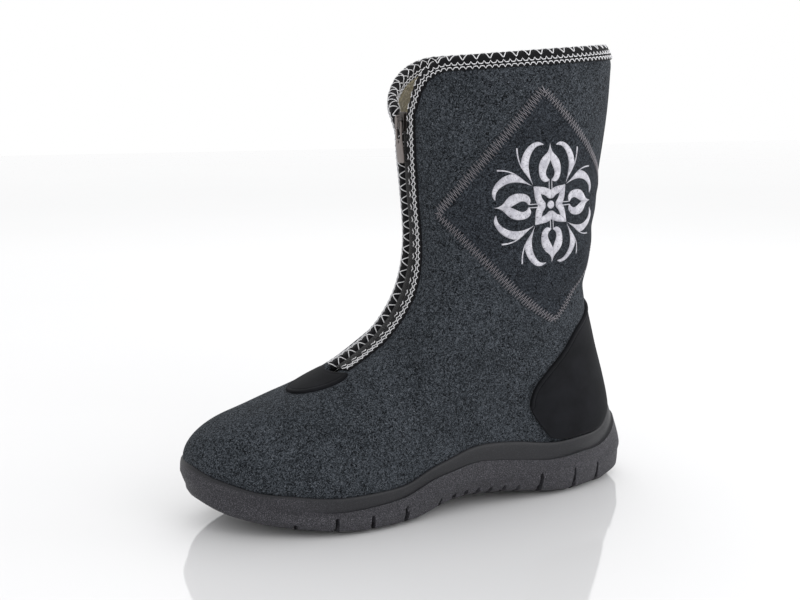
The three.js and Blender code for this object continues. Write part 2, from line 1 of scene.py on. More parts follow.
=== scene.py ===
import math
import bmesh
import bpy
import numpy as np
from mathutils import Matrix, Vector


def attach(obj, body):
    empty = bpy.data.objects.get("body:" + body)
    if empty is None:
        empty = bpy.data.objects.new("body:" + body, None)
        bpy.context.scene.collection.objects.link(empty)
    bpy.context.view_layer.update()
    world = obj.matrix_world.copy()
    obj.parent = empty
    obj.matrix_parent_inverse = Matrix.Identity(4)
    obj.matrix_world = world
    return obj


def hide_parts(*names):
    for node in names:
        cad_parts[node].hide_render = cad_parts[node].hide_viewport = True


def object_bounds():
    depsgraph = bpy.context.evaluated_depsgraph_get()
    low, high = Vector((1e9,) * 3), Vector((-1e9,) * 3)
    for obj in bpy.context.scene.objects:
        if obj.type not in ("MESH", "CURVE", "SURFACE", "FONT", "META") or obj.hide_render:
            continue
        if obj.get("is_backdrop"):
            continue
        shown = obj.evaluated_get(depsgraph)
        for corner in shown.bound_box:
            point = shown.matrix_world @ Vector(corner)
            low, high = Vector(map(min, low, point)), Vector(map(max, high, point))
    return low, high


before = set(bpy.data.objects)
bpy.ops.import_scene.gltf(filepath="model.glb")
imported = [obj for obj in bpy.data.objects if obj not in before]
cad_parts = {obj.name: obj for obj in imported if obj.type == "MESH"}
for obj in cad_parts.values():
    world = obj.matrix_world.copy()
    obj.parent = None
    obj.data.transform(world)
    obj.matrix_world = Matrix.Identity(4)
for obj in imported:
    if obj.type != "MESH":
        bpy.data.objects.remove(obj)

cadLow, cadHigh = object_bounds()
mm = 0.001
print("frame:", len(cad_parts), "nodes")

# the last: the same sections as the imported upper, in mm
last = {"length": 251, "ball": 90.5, "instep": 97, "height": 250, "centreX": 0.9, "centreY": 0.65,
        "perLevel": 247, "wall": 2.6, "lean": 3.7, "leanTurn": 50, "leanFrom": 0.84, "leanOver": 0.055,
        "leanBack": 0.9, "leanLoss": 0.75, "pinch": 6, "pinchFrom": 0.957}
stations = [0, 32, 62, 98, 135, 180]  # degrees round from the front
# level, front x, front height, back x, back height, dip, swing, half widths outside, half widths inside
sections = [
    (0, -0.482, 0.242, 0.47, 0.165, 0.113, 0.077,
     [0.62, 0.298, 0.486, 0.376, 0.331, 0.575], [0.62, 0.276, 0.436, 0.309, 0.32, 0.575]),
    (0.067, -0.512, 0.361, 0.488, 0.371, 0.072, 0.077,
     [0.663, 0.331, 0.525, 0.425, 0.37, 0.64], [0.663, 0.309, 0.475, 0.36, 0.36, 0.64]),
    (0.12, -0.496, 0.469, 0.48, 0.536, 0.046, 0.066,
     [0.63, 0.304, 0.492, 0.425, 0.365, 0.63], [0.63, 0.287, 0.448, 0.365, 0.354, 0.63]),
    (0.176, -0.45, 0.557, 0.464, 0.68, 0.026, 0.055,
     [0.575, 0.276, 0.436, 0.425, 0.36, 0.608], [0.575, 0.26, 0.403, 0.376, 0.354, 0.608]),
    (0.245, -0.367, 0.634, 0.447, 0.825, 0.01, 0.039,
     [0.475, 0.238, 0.381, 0.425, 0.354, 0.575], [0.475, 0.227, 0.365, 0.387, 0.348, 0.575]),
    (0.323, -0.263, 0.722, 0.432, 0.969, 0, 0.028,
     [0.42, 0.225, 0.361, 0.42, 0.348, 0.541], [0.42, 0.221, 0.354, 0.398, 0.343, 0.541]),
    (0.397, -0.169, 0.84, 0.418, 1.065, 0, 0.017,
     [0.42, 0.232, 0.37, 0.42, 0.343, 0.519], [0.398, 0.221, 0.365, 0.409, 0.343, 0.519]),
    (0.47, -0.09, 0.995, 0.412, 1.157, 0, 0.006,
     [0.42, 0.243, 0.381, 0.42, 0.343, 0.508], [0.354, 0.221, 0.376, 0.414, 0.343, 0.508]),
    (0.542, -0.034, 1.127, 0.416, 1.248, 0, 0,
     [0.442, 0.246, 0.387, 0.423, 0.337, 0.508], [0.354, 0.221, 0.376, 0.42, 0.337, 0.508]),
    (0.618, -0.012, 1.281, 0.424, 1.353, 0, 0,
     [0.508, 0.26, 0.398, 0.431, 0.337, 0.508], [0.398, 0.232, 0.392, 0.431, 0.337, 0.508]),
    (0.725, -0.016, 1.471, 0.436, 1.529, 0, 0,
     [0.552, 0.282, 0.42, 0.459, 0.348, 0.519], [0.464, 0.265, 0.42, 0.459, 0.348, 0.519]),
    (0.85, -0.023, 1.693, 0.453, 1.732, 0, 0,
     [0.597, 0.298, 0.448, 0.492, 0.365, 0.541], [0.7, 0.33, 0.448, 0.492, 0.365, 0.541]),
    (1, -0.024, 1.935, 0.465, 1.997, 0, 0,
     [0.62, 0.309, 0.464, 0.508, 0.376, 0.552], [0.6, 0.305, 0.464, 0.508, 0.376, 0.552]),
]


class Curve:  # cubic spline whose values are weights on its knots; level ends or free ones
    def __init__(self, knots, level):
        self.x = np.array(knots, float)
        n, h = len(knots), np.diff(self.x)
        a, r = np.zeros((n, n)), np.zeros((n, n))
        for i in range(n):
            if i in (0, n - 1) and not level:
                a[i, i] = 1
                continue
            for other in (i - 1, i + 1):
                if 0 <= other < n:
                    gap = h[min(i, other)]
                    a[i, other] += gap
                    a[i, i] += 2 * gap
                    r[i, i] -= 6 / gap
                    r[i, other] += 6 / gap
        self.bend = np.linalg.solve(a, r)

    def weights(self, x):
        x = np.asarray(x, float)
        i = np.clip(np.searchsorted(self.x, x, side="right") - 1, 0, len(self.x) - 2)
        h, t = self.x[i + 1] - self.x[i], x - self.x[i]
        u = h - t
        one = np.eye(len(self.x))
        w = self.bend[i] * (u ** 3 / (6 * h) - h * u / 6)[..., None]
        w = w + self.bend[i + 1] * (t ** 3 / (6 * h) - h * t / 6)[..., None]
        return w + one[i] * (u / h)[..., None] + one[i + 1] * (t / h)[..., None]


def smoothLine(xs, ys, level=False):
    curve, ys = Curve(xs, level), np.array(ys, float)
    return lambda x: curve.weights(x) @ ys


def heightOf(share):  # in insteps up to 1, and from there to the collar at 2
    if share <= 1:
        return share * last["instep"]
    return last["instep"] + (share - 1) * (last["height"] - last["instep"])


levelCurve, roundCurve = Curve([s[0] for s in sections], False), Curve(stations, True)
atStation = [1 if i in (0, 5) else math.sin(math.radians(d)) for i, d in enumerate(stations)]


def sectionRow(level, frontX, frontZ, backX, backZ, dip, swing, *halves):
    row = [frontX * last["length"], heightOf(frontZ), backX * last["length"], heightOf(backZ)]
    row += [dip * last["instep"], swing * last["ball"]]
    for widths in halves:
        row += [w * last["ball"] / k for w, k in zip(widths, atStation)]
    return row


sectionTable = np.array([sectionRow(*s) for s in sections])


def ease(t):
    t = np.clip(t, 0, 1)
    return t * t * (3 - 2 * t)


# outside of the felt at level v and angle th, which is 0 in front and positive to the outer side. The dip is
# deepest a third of the way back, where 6.75 * f * f * (1 - f) is 1.
def face(v, th):
    v, th = np.broadcast_arrays(np.asarray(v, float), np.asarray(th, float))
    s = levelCurve.weights(v.ravel()) @ sectionTable
    d = np.degrees(th.ravel()) % 360
    outer = d <= 180
    w = roundCurve.weights(np.where(outer, d, 360 - d))
    half = np.abs(np.sin(th.ravel())) * np.where(outer, -(w * s[:, 6:12]).sum(1), (w * s[:, 12:18]).sum(1))
    f = (1 + np.cos(th.ravel())) / 2
    rise, turn = v.ravel(), 360 - d
    lean = last["lean"] * ease((rise - last["leanFrom"]) / last["leanOver"])
    lean = lean * ease(1 - turn / last["leanTurn"])
    back = ease((rise - last["leanBack"]) / (1 - last["leanBack"]))
    lean *= (1 - last["leanLoss"] * back) * ease(turn / 7) * ~outer
    pinch = last["pinch"] * (1 - f) * ((rise - last["pinchFrom"]) / (1 - last["pinchFrom"])).clip(0, 1) ** 2
    p = np.stack([s[:, 2] + (s[:, 0] - s[:, 2]) * f - last["centreX"] - lean - pinch,
                  half + s[:, 5] * f * f - last["centreY"],
                  s[:, 3] + (s[:, 1] - s[:, 3]) * f - s[:, 4] * 6.75 * f * f * (1 - f)], -1)
    return p.reshape(v.shape + (3,))


def unit(a):
    return a / np.maximum(np.linalg.norm(a, axis=-1, keepdims=True), 1e-9)


def outward(v, th):
    v, th = np.broadcast_arrays(np.asarray(v, float), np.asarray(th, float))
    across = face(v, th + 0.01) - face(v, th - 0.01)
    up = face(np.minimum(1, v + 0.004), th) - face(np.maximum(0, v - 0.004), th)
    return unit(np.cross(across, up))


def skin(v, th, out):
    return face(v, th) + outward(v, th) * np.asarray(out, float)[..., None]


# lengths round the leg and foot from the front line, on a table of levels and angles
arcLevels, arcAngles = np.linspace(0, 1, 241), np.linspace(0, math.pi, 181)


def arcTable(side):
    p = face(arcLevels[:, None], side * arcAngles[None])
    return np.concatenate([np.zeros((241, 1)), np.cumsum(np.linalg.norm(np.diff(p, axis=1), axis=2), 1)], 1)


arcs = {1: arcTable(1), -1: arcTable(-1)}


def arcRow(v, side):
    i = min(239, max(0, int(v * 240)))
    t = v * 240 - i
    return arcs[side][i] * (1 - t) + arcs[side][i + 1] * t


def angleAt(v, s):  # angle at level v that lies s mm round from the front line, also past the back
    v, s = np.broadcast_arrays(np.asarray(v, float), np.asarray(s, float))
    out = np.zeros(v.size)
    for k, (level, arc) in enumerate(zip(v.ravel(), s.ravel())):
        side = 1 if arc >= 0 else -1
        row = arcRow(level, side)
        if abs(arc) <= row[-1]:
            out[k] = side * np.interp(abs(arc), row, arcAngles)
        else:
            other = arcRow(level, -side)
            out[k] = side * (2 * math.pi - np.interp(other[-1] - (abs(arc) - row[-1]), other, arcAngles))
    return out.reshape(v.shape)


def arcTo(v, th):
    v, th = np.broadcast_arrays(np.asarray(v, float), np.asarray(th, float))
    return np.array([(1 if a >= 0 else -1) * np.interp(abs(a), arcAngles, arcRow(level, 1 if a >= 0 else -1))
                     for level, a in zip(v.ravel(), th.ravel())]).reshape(v.shape)


def lumps(p, size, seed=1, octaves=3):  # soft unevenness at the points p, about -1 to 1
    rng = np.random.default_rng(seed)
    total = np.zeros(p.shape[:-1])
    for k in range(octaves):
        for _ in range(5):
            wave = unit(rng.normal(size=3)) * 2 * math.pi / (size / 1.7 ** k) * rng.uniform(0.7, 1.3)
            total += np.sin(p @ wave + rng.uniform(0, 6.28)) / 5 / 1.4 ** k
    return total


def quads(rows, columns, wrap=False, start=0, flip=False):
    i, j = np.meshgrid(np.arange(rows - 1), np.arange(columns if wrap else columns - 1), indexing="ij")
    a, b = i * columns + j, i * columns + (j + 1) % columns
    q = np.stack([a, b, b + columns, a + columns], -1).reshape(-1, 4) + start
    return q[:, ::-1] if flip else q


def turnedOut(points, faces):  # the faces of a closed skin, in the order that makes them look outward
    a, b, c, d = (points[faces[:, k]] for k in range(4))
    volume = (a * (np.cross(b, c) + np.cross(c, d))).sum()
    return faces if volume > 0 else faces[:, ::-1]


def makeMesh(name, points, faces, uv=None, values=None, sharp=None):
    mesh = bpy.data.meshes.new(name)
    points = np.asarray(points, float).reshape(-1, 3)
    mesh.from_pydata((points * mm).tolist(), [], turnedOut(points, np.asarray(faces)).tolist())
    if uv is not None:
        corner = np.zeros(len(mesh.loops), int)
        mesh.loops.foreach_get("vertex_index", corner)
        layer = mesh.uv_layers.new(name="cloth")
        layer.data.foreach_set("uv", np.asarray(uv, float).reshape(-1, 2)[corner].ravel())
    for key, value in (values or {}).items():
        layer = mesh.attributes.new(key, "FLOAT", "POINT")
        layer.data.foreach_set("value", np.asarray(value, np.float32).ravel())
    mesh.polygons.foreach_set("use_smooth", [True] * len(mesh.polygons))
    if sharp:
        mesh.set_sharp_from_angle(angle=math.radians(sharp))
    piece = bpy.data.objects.new(name, mesh)
    bpy.context.scene.collection.objects.link(piece)
    return piece


def rim(rows, columns):
    return np.concatenate([np.arange(columns - 1), np.arange(rows - 1) * columns + columns - 1,
                           (rows - 1) * columns + np.arange(columns - 1, 0, -1),
                           np.arange(rows - 1, 0, -1) * columns])


def closedSheet(top, bottom):  # points and faces of a closed sheet between two grids of the same size
    rows, columns = top.shape[:2]
    k, b = rows * columns, rim(rows, columns)
    after = np.roll(b, -1)
    faces = np.concatenate([quads(rows, columns), quads(rows, columns, start=k, flip=True),
                            np.stack([after, b, b + k, after + k], -1)])
    points = np.concatenate([top.reshape(-1, 3), bottom.reshape(-1, 3)])
    return points, turnedOut(points, faces)


def plate(name, top, bottom, uv=None):
    points, faces = closedSheet(top, bottom)
    twice = None if uv is None else np.concatenate([np.reshape(uv, (-1, 2))] * 2)
    return makeMesh(name, points, faces, twice)


def manyPlates(name, parts):  # one mesh of many closed sheets, each given as top, bottom and uv
    points, faces, uvs, start = [], [], [], 0
    for top, bottom, uv in parts:
        somePoints, someFaces = closedSheet(top, bottom)
        points.append(somePoints)
        faces.append(someFaces + start)
        uvs += [np.reshape(uv, (-1, 2))] * 2
        start += len(somePoints)
    return makeMesh(name, np.concatenate(points), np.concatenate(faces), np.concatenate(uvs))


def dress(piece, look, body="boot", stands=()):  # stands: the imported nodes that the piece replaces
    piece.data.materials.clear()
    piece.data.materials.append(look)
    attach(piece, body)
    if stands:
        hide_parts(*stands)
    return piece


class Wire:  # a socket in a node tree, for sums written as Python
    def __init__(self, tree, socket=None):
        self.tree, self.socket = tree, socket

    def node(self, kind, values=None, settings=None, out=0):
        made = self.tree.nodes.new(kind)
        for key, value in (settings or {}).items():
            if key == "stops":
                ramp = made.color_ramp.elements
                while len(ramp) < len(value):
                    ramp.new(0.5)
                for stop, (place, shade) in zip(ramp, value):
                    stop.position, stop.color = place, (*shade, 1)
            else:
                setattr(made, key, value)
        for key, value in (values or {}).items():
            if isinstance(value, Wire):
                self.tree.links.new(value.socket, made.inputs[key])
            else:
                made.inputs[key].default_value = value
        return Wire(self.tree, made.outputs[out])

    def math(self, operation, *terms):
        return self.node("ShaderNodeMath", dict(enumerate(terms)), {"operation": operation})

    def __add__(self, other):
        return self.math("ADD", self, other)

    def __radd__(self, other):
        return self.math("ADD", other, self)

    def __sub__(self, other):
        return self.math("SUBTRACT", self, other)

    def __rsub__(self, other):
        return self.math("SUBTRACT", other, self)

    def __mul__(self, other):
        return self.math("MULTIPLY", self, other)

    def __rmul__(self, other):
        return self.math("MULTIPLY", other, self)

    def step(self, low, high):  # 0 to 1 between low and high, softly
        return self.node("ShaderNodeMapRange", {"Value": self, "From Min": low, "From Max": high},
                         {"interpolation_type": "SMOOTHSTEP"})

    def between(self, first, second):  # a colour mixed by this value
        first, second = (c if isinstance(c, Wire) else (*c, 1) for c in (first, second))
        return self.node("ShaderNodeMix", {0: self, 6: first, 7: second}, {"data_type": "RGBA"}, 2)

    def noise(self, scale, detail=2.0, rough=0.5, twist=0.0):
        return self.node("ShaderNodeTexNoise", {"Vector": self, "Scale": scale, "Detail": detail,
                                                "Roughness": rough, "Distortion": twist})

    def vector(self, operation, other):
        return self.node("ShaderNodeVectorMath", {0: self, 1: other}, {"operation": operation})

    def scaled(self, by):
        return self.node("ShaderNodeVectorMath", {0: self, "Scale": by}, {"operation": "SCALE"})


def blank(name, **fixed):
    look = bpy.data.materials.new(name)
    look.use_nodes = True
    tree = look.node_tree
    shader = tree.nodes["Principled BSDF"]
    for key, value in fixed.items():
        shader.inputs[key.replace("_", " ")].default_value = value
    wire = Wire(tree)

    def plug(**links):
        for key, value in links.items():
            tree.links.new(value.socket, shader.inputs[key.replace("_", " ")])
    return look, wire, plug


def srgb(*levels):
    return tuple(((c / 255 + 0.055) / 1.055) ** 2.4 if c > 10 else c / 255 / 12.92 for c in levels)


def bump(height, strength, distance):
    return height.node("ShaderNodeBump", {"Height": height, "Strength": strength, "Distance": distance})


feltTones = {"dark": srgb(14, 16, 19), "mid": srgb(38, 42, 46), "pale": srgb(86, 91, 98),
             "hair": srgb(140, 145, 151)}
patchTones = {"dark": srgb(13, 15, 18), "mid": srgb(33, 36, 41), "pale": srgb(72, 77, 84),
              "hair": srgb(110, 114, 121)}


def feltLook(name, tones, hairs=1.0, lift=1.0):  # curly mottle with a few pale hairs on it
    look, w, plug = blank(name, Roughness=0.95, Sheen_Weight=0.03, Sheen_Roughness=0.5,
                          Specular_IOR_Level=0.06)
    at = w.node("ShaderNodeTexCoord", out=3)
    curl, wool, cloud = at.noise(520, 3, 0.6, 2.6), at.noise(1100, 2, 0.6, 1.2), at.noise(48, 3, 0.6)
    ridge = w.math("ABSOLUTE", curl - 0.5).step(0.13, 0.0)
    tone = curl * 0.5 + wool * 0.34 + ridge * 0.14 + (cloud - 0.5) * 0.06
    colour = w.node("ShaderNodeValToRGB", {0: tone}, {"stops": [
        (0.43, tones["dark"]), (0.505, tones["mid"]), (0.6, tones["pale"])]})
    thread = w.math("ABSOLUTE", at.noise(330, 2, 0.5, 3.2) - 0.5).step(0.012, 0.003) * wool.step(0.5, 0.62)
    colour = (thread * (0.85 * hairs)).between(colour, tones["hair"])
    plug(Base_Color=colour, Normal=bump(curl * 0.45 + wool * 0.35 + ridge * 0.2, 0.6 * lift, 0.0008))
    return look


def fleeceLook():
    look, w, plug = blank("fleecePile", Roughness=1.0, Sheen_Weight=0.4, Sheen_Roughness=0.6,
                          Specular_IOR_Level=0.1)
    at = w.node("ShaderNodeTexCoord", out=3)
    curl = at.noise(420, 3, 0.65, 1.8)
    plug(Base_Color=curl.step(0.3, 0.7).between(srgb(98, 89, 64), srgb(152, 142, 113)),
         Normal=bump(curl, 0.9, 0.0014))
    return look


def rubberLook():  # the attribute grain is 1 on the textured wall and 0 on the smooth band
    look, w, plug = blank("mouldedRubber", Specular_IOR_Level=0.3)
    at = w.node("ShaderNodeTexCoord", out=3)
    grainy = w.node("ShaderNodeAttribute", settings={"attribute_name": "grain"}, out=2)
    grain = at.noise(2400, 2, 0.7, 0.3)
    cloud = at.noise(90, 2, 0.5)
    # pale flecks painted into the colour as glints on the grain, with lower roughness there; denser on the
    # textured wall
    paintedGlint = grain.step(0.5, 0.66) * (grainy * 0.85 + 0.12)
    base = (cloud * 0.4 + grainy * 0.6).between(srgb(27, 28, 31), srgb(44, 44, 48))
    plug(Base_Color=paintedGlint.between(base, srgb(100, 98, 105)),
         Roughness=0.47 + grainy * 0.16 + (cloud - 0.5) * 0.12 - paintedGlint * 0.12,
         Normal=bump(grain * (0.12 + grainy * 0.88), 0.55, 0.0005))
    return look


def nubuckLook():
    look, w, plug = blank("nubuck", Sheen_Weight=0.03, Sheen_Roughness=0.4, Specular_IOR_Level=0.12)
    at = w.node("ShaderNodeTexCoord", out=3)
    nap, cloud = at.noise(2100, 2, 0.6), at.noise(70, 3, 0.6)
    plug(Base_Color=(cloud * 0.7 + nap * 0.3).step(0.3, 0.7).between(srgb(15, 16, 19), srgb(25, 26, 30)),
         Roughness=0.72 + nap * 0.2, Normal=bump(nap, 0.25, 0.0003))
    return look


def braidLook():
    look, w, plug = blank("blackBraid", Sheen_Weight=0.02, Specular_IOR_Level=0.15)
    at = w.node("ShaderNodeUVMap")
    parts = [w.node("ShaderNodeSeparateXYZ", {0: at}, out=i) for i in (0, 1)]
    rib = w.math("SINE", (parts[0] + parts[1] * 0.5) * (6.283 / 0.9))
    rib = rib * w.math("SINE", parts[1] * (6.283 / 0.75))
    fuzz = w.node("ShaderNodeTexCoord", out=3).noise(1800, 2, 0.6)
    plug(Base_Color=(rib * 0.3 + fuzz).step(0.2, 1.0).between(srgb(9, 9, 11), srgb(28, 28, 32)),
         Roughness=0.62 + fuzz * 0.25, Normal=bump(rib * 0.5 + fuzz * 0.5, 0.6, 0.0003))
    return look


def threadLook(name, dark, pale, rough=0.55):
    look, w, plug = blank(name, Sheen_Weight=0.15, Specular_IOR_Level=0.4)
    ply = w.node("ShaderNodeTexCoord", out=3).noise(1600, 2, 0.6)
    plug(Base_Color=ply.step(0.3, 0.7).between(srgb(*dark), srgb(*pale)), Roughness=rough + ply * 0.2,
         Normal=bump(ply, 0.3, 0.0002))
    return look


def satinLook():  # threads run across the shape: u counts mm along it, v goes from edge to edge
    look, w, plug = blank("satinThread", Sheen_Weight=0.2, Specular_IOR_Level=0.5, Anisotropic=0.3)
    at = w.node("ShaderNodeUVMap")
    along = w.node("ShaderNodeSeparateXYZ", {0: at}, out=0)
    strand = w.math("SINE", along * (6.283 / 0.42))
    gap = at.vector("MULTIPLY", (2.6, 0.55, 1)).noise(1.0, 2, 0.6).step(0.57, 0.66)
    tone = w.node("ShaderNodeTexCoord", out=3).noise(260, 2, 0.5)
    colour = tone.step(0.3, 0.7).between(srgb(176, 175, 185), srgb(214, 213, 221))
    plug(Base_Color=(gap * 0.8).between(colour, srgb(82, 82, 90)), Roughness=0.42 + gap * 0.3,
         Normal=bump(strand * 0.5 - gap, 0.5, 0.0002))
    return look


def metalLook(name, dark, pale):
    look, w, plug = blank(name, Metallic=1.0)
    at = w.node("ShaderNodeTexCoord", out=3)
    brushed = at.vector("MULTIPLY", (1, 1, 0.08)).noise(2600, 2, 0.6)
    plug(Base_Color=at.noise(300, 2, 0.5).between(dark, pale),
         Roughness=0.3 + brushed * 0.22, Normal=bump(brushed, 0.15, 0.0001))
    return look


# Geometry Nodes: a thread that goes to and fro along a line. The line's points hold two vectors, from the
# line to the near and to the far turn of the thread. Four steps make one stitch.
def stitchTree():
    tree = bpy.data.node_groups.new("threadRow", "GeometryNodeTree")
    tree.interface.new_socket("Geometry", in_out="OUTPUT", socket_type="NodeSocketGeometry")
    for label, kind in (("Geometry", "Geometry"), ("Step", "Float"), ("Thickness", "Float"),
                        ("Waist", "Float"), ("Uneven", "Float"), ("Shift", "Float"), ("Seed", "Int"),
                        ("Thread", "Material")):
        tree.interface.new_socket(label, in_out="INPUT", socket_type="NodeSocket" + kind)
    entry = tree.nodes.new("NodeGroupInput")
    given = {socket.name: Wire(tree, socket) for socket in entry.outputs}
    w = Wire(tree)
    line = w.node("GeometryNodeMeshToCurve", {"Mesh": given["Geometry"]})
    line = w.node("GeometryNodeResampleCurve", {"Curve": line, "Length": given["Step"]}, {"mode": "LENGTH"})
    index = w.node("GeometryNodeInputIndex")
    turn = (index + given["Shift"]) * (math.pi / 2)
    swing = w.math("COSINE", turn) + w.math("ABSOLUTE", w.math("SINE", turn)) * given["Waist"]
    vector = {"data_type": "FLOAT_VECTOR"}
    near = w.node("GeometryNodeInputNamedAttribute", {"Name": "near"}, vector)
    far = w.node("GeometryNodeInputNamedAttribute", {"Name": "far"}, vector)
    random = w.node("FunctionNodeRandomValue", {2: -1.0, 3: 1.0, "ID": index, "Seed": given["Seed"]},
                    {"data_type": "FLOAT"}, 1)
    toFar = far.scaled(w.math("MAXIMUM", swing * -1.0, 0.0))
    move = near.scaled(w.math("MAXIMUM", swing, 0.0)).vector("ADD", toFar)
    move = move.vector("ADD", near.scaled(random * given["Uneven"]))
    line = w.node("GeometryNodeSetPosition", {"Geometry": line, "Offset": move})
    line = w.node("GeometryNodeCurveSplineType", {"Curve": line}, {"spline_type": "POLY"})
    circle = w.node("GeometryNodeCurvePrimitiveCircle", {"Resolution": 6, "Radius": given["Thickness"] * 0.5},
                    {"mode": "RADIUS"})
    thread = w.node("GeometryNodeCurveToMesh", {"Curve": line, "Profile Curve": circle, "Fill Caps": True})
    thread = w.node("GeometryNodeRealizeInstances", {"Geometry": thread})
    thread = w.node("GeometryNodeSetMaterial", {"Geometry": thread, "Material": given["Thread"]})
    leave = tree.nodes.new("NodeGroupOutput")
    tree.links.new(thread.socket, leave.inputs[0])
    return tree


def sewn(name, tree, line, near, far, thread, slot, body="boot", closed=False, **sizes):
    mesh = bpy.data.meshes.new(name)
    count = len(line)
    links = [(i, (i + 1) % count) for i in range(count if closed else count - 1)]
    mesh.from_pydata((line * mm).tolist(), links, [])
    for key, ends in (("near", near), ("far", far)):
        layer = mesh.attributes.new(key, "FLOAT_VECTOR", "POINT")
        layer.data.foreach_set("vector", ((ends - line) * mm).ravel())
    piece = bpy.data.objects.new(name, mesh)
    bpy.context.scene.collection.objects.link(piece)
    modifier = piece.modifiers.new("thread", "NODES")
    modifier.node_group = tree
    sizes = {"Shift": 0.0, "Seed": 1, "Uneven": 0.0, "Waist": 0.0, "Thread": thread, **sizes}
    for item in tree.interface.items_tree:
        if item.in_out == "INPUT" and item.name in sizes:
            modifier[item.identifier] = sizes[item.name]
    made = bpy.data.meshes.new_from_object(piece.evaluated_get(bpy.context.evaluated_depsgraph_get()))
    piece.modifiers.clear()
    piece.data = made
    made.polygons.foreach_set("use_smooth", [True] * len(made.polygons))
    return dress(piece, thread, body)


felt = feltLook("charcoalFelt", feltTones)
patchFelt = feltLook("patchFelt", patchTones, 0.6, 0.7)
fleece, rubber, nubuck, braid, satin = fleeceLook(), rubberLook(), nubuckLook(), braidLook(), satinLook()
nickel = metalLook("dullNickel", srgb(104, 97, 94), srgb(140, 133, 130))
# a darker copy of the same nickel: painted shade for the slider body
nickelPaintedShade = metalLook("nickelPaintedShade", srgb(62, 58, 57), srgb(92, 87, 85))
whiteThread = threadLook("whiteThread", (202, 202, 205), (240, 240, 242))
greyThread = threadLook("greyThread", (104, 101, 106), (158, 154, 160), 0.45)
tapeCloth = threadLook("zipTapeCloth", (12, 12, 14), (30, 30, 33))
print("materials made")

# slit, zip line and the two flaps of the collar
zipLine = {"half": 5.3, "foot": 0.352, "bindingFoot": 0.378, "start": 0.386, "top": 0.885, "slider": 0.872,
           "parts": 0.887}
outerFlap = {"round": 26, "down": 27, "parted": 2.8, "over": 0.04, "side": 1}
innerFlap = {"round": 48, "down": 33, "parted": 12, "over": 0.06, "side": -1}
driftLevels = [0, 0.26, 0.352, 0.45, 0.53, 0.64, 0.72, 1]
driftArcs = [0, 0, 3.2, 4, 2.6, 0.8, 0, 0]


def levelOf(length):
    return length / last["perLevel"]


def drift(v):
    return np.interp(v, driftLevels, driftArcs)


def cornerAt(v, flap):  # how far round its corner a flap is, 1 at the collar
    return np.clip(1 - (1 - np.asarray(v, float)) / levelOf(flap["down"]), 0, 1)


def cornerLevels(flap, count):
    return 1 - levelOf(flap["down"] * (1 - np.sin(np.radians(np.linspace(0, 90, count)))))


def slitAt(v, flap):  # from the middle of the zip to the felt edge of one flap
    v = np.asarray(v, float)
    mouth = zipLine["half"] * np.sqrt(1 - ((zipLine["foot"] + 0.02 - v) / 0.02).clip(0, 1) ** 2)
    parted = flap["parted"] * ease((v - zipLine["parts"]) / flap["over"])
    corner = flap["round"] * (1 - np.sqrt(1 - cornerAt(v, flap) ** 2))
    return np.where(v <= zipLine["foot"], 0, mouth + parted + corner)


def slipAt(v, flap):  # way into the felt, square to the edge of a flap: down the leg and round it
    below, above = v - 0.001, np.minimum(1, v + 0.001)
    slope = (slitAt(above, flap) - slitAt(below, flap)) / (above - below) / last["perLevel"]
    slope[v > 1 - 1e-6] = 1e6
    return slope / np.hypot(slope, 1), 1 / np.hypot(slope, 1)


def slitEdges(v):
    first, final = (angleAt(v, drift(v) + flap["side"] * slitAt(v, flap)) for flap in (outerFlap, innerFlap))
    return first, 2 * math.pi + final


# felt upper
upper = {"columns": 300, "rows": 150, "cornerRows": 30, "lumps": 0.35, "lumpSize": 34}
# creases: level, angle in degrees, half length round, half height in level, depth in mm, slope
creases = [
    (0.5, 62, 34, 0.02, 0.9, 0.0012), (0.47, 118, 40, 0.024, 1.0, -0.0004),
    (0.55, 100, 36, 0.022, 0.7, 0.0006), (0.42, 88, 26, 0.02, 0.6, 0.0016),
    (0.5, -80, 40, 0.022, 1.0, -0.001), (0.44, -110, 34, 0.024, 0.8, 0.0006),
    (0.2, 40, 20, 0.018, 0.5, 0.0008), (0.22, -42, 20, 0.018, 0.5, -0.0008),
    (0.62, 150, 26, 0.02, 0.6, 0.0004),
]


def relief(v, th):
    v, th = np.broadcast_arrays(np.asarray(v, float), np.asarray(th, float))
    p = face(v, th)
    out = upper["lumps"] * lumps(p, upper["lumpSize"], 3, 2)
    turn = (np.degrees(th) + 180) % 360 - 180
    for level, degree, reach, high, depth, slope in creases:
        along = (turn - degree) * 0.9
        dv = v - level - slope * along
        fade = np.exp(-(along / reach) ** 4)
        ridges = 0.5 * np.exp(-((np.abs(dv) - 2.1 * high) / high) ** 2)  # one above and one below the trough
        out -= depth * fade * (np.exp(-(dv / high) ** 2) - ridges)
    return out * np.clip((v - 0.12) / 0.1, 0, 1) * np.clip((1 - v) / 0.05, 0, 1)


topLevels = cornerLevels(innerFlap, upper["cornerRows"])
straightRows = upper["rows"] - upper["cornerRows"]
upperLevels = np.concatenate([np.linspace(0, topLevels[0], straightRows, endpoint=False), topLevels])
first, final = slitEdges(upperLevels)
upperAngles = first[:, None] + (final - first)[:, None] * np.linspace(0, 1, upper["columns"] + 1)[None]
upperGrid = np.repeat(upperLevels[:, None], upper["columns"] + 1, 1)
raised = relief(upperGrid, upperAngles)
feltUpper = plate("feltUpper", skin(upperGrid, upperAngles, raised),
                  skin(upperGrid, upperAngles, raised - last["wall"]))
dress(feltUpper, felt, stands=["upper"])
print("felt upper made")

# fleece lining and footbed
lining = {"pile": 1.9, "gap": 0.35, "margin": 6.3, "columns": 190, "rows": 120, "lump": 0.55, "lumpSize": 5.5}
footbed = {"columns": 180, "rings": 34, "gap": 0.7, "middleY": 1.2, "thick": 3, "lump": 0.5, "lumpSize": 6}
liningLevels = np.linspace(0.0, 1 - levelOf(lining["margin"]), lining["rows"])


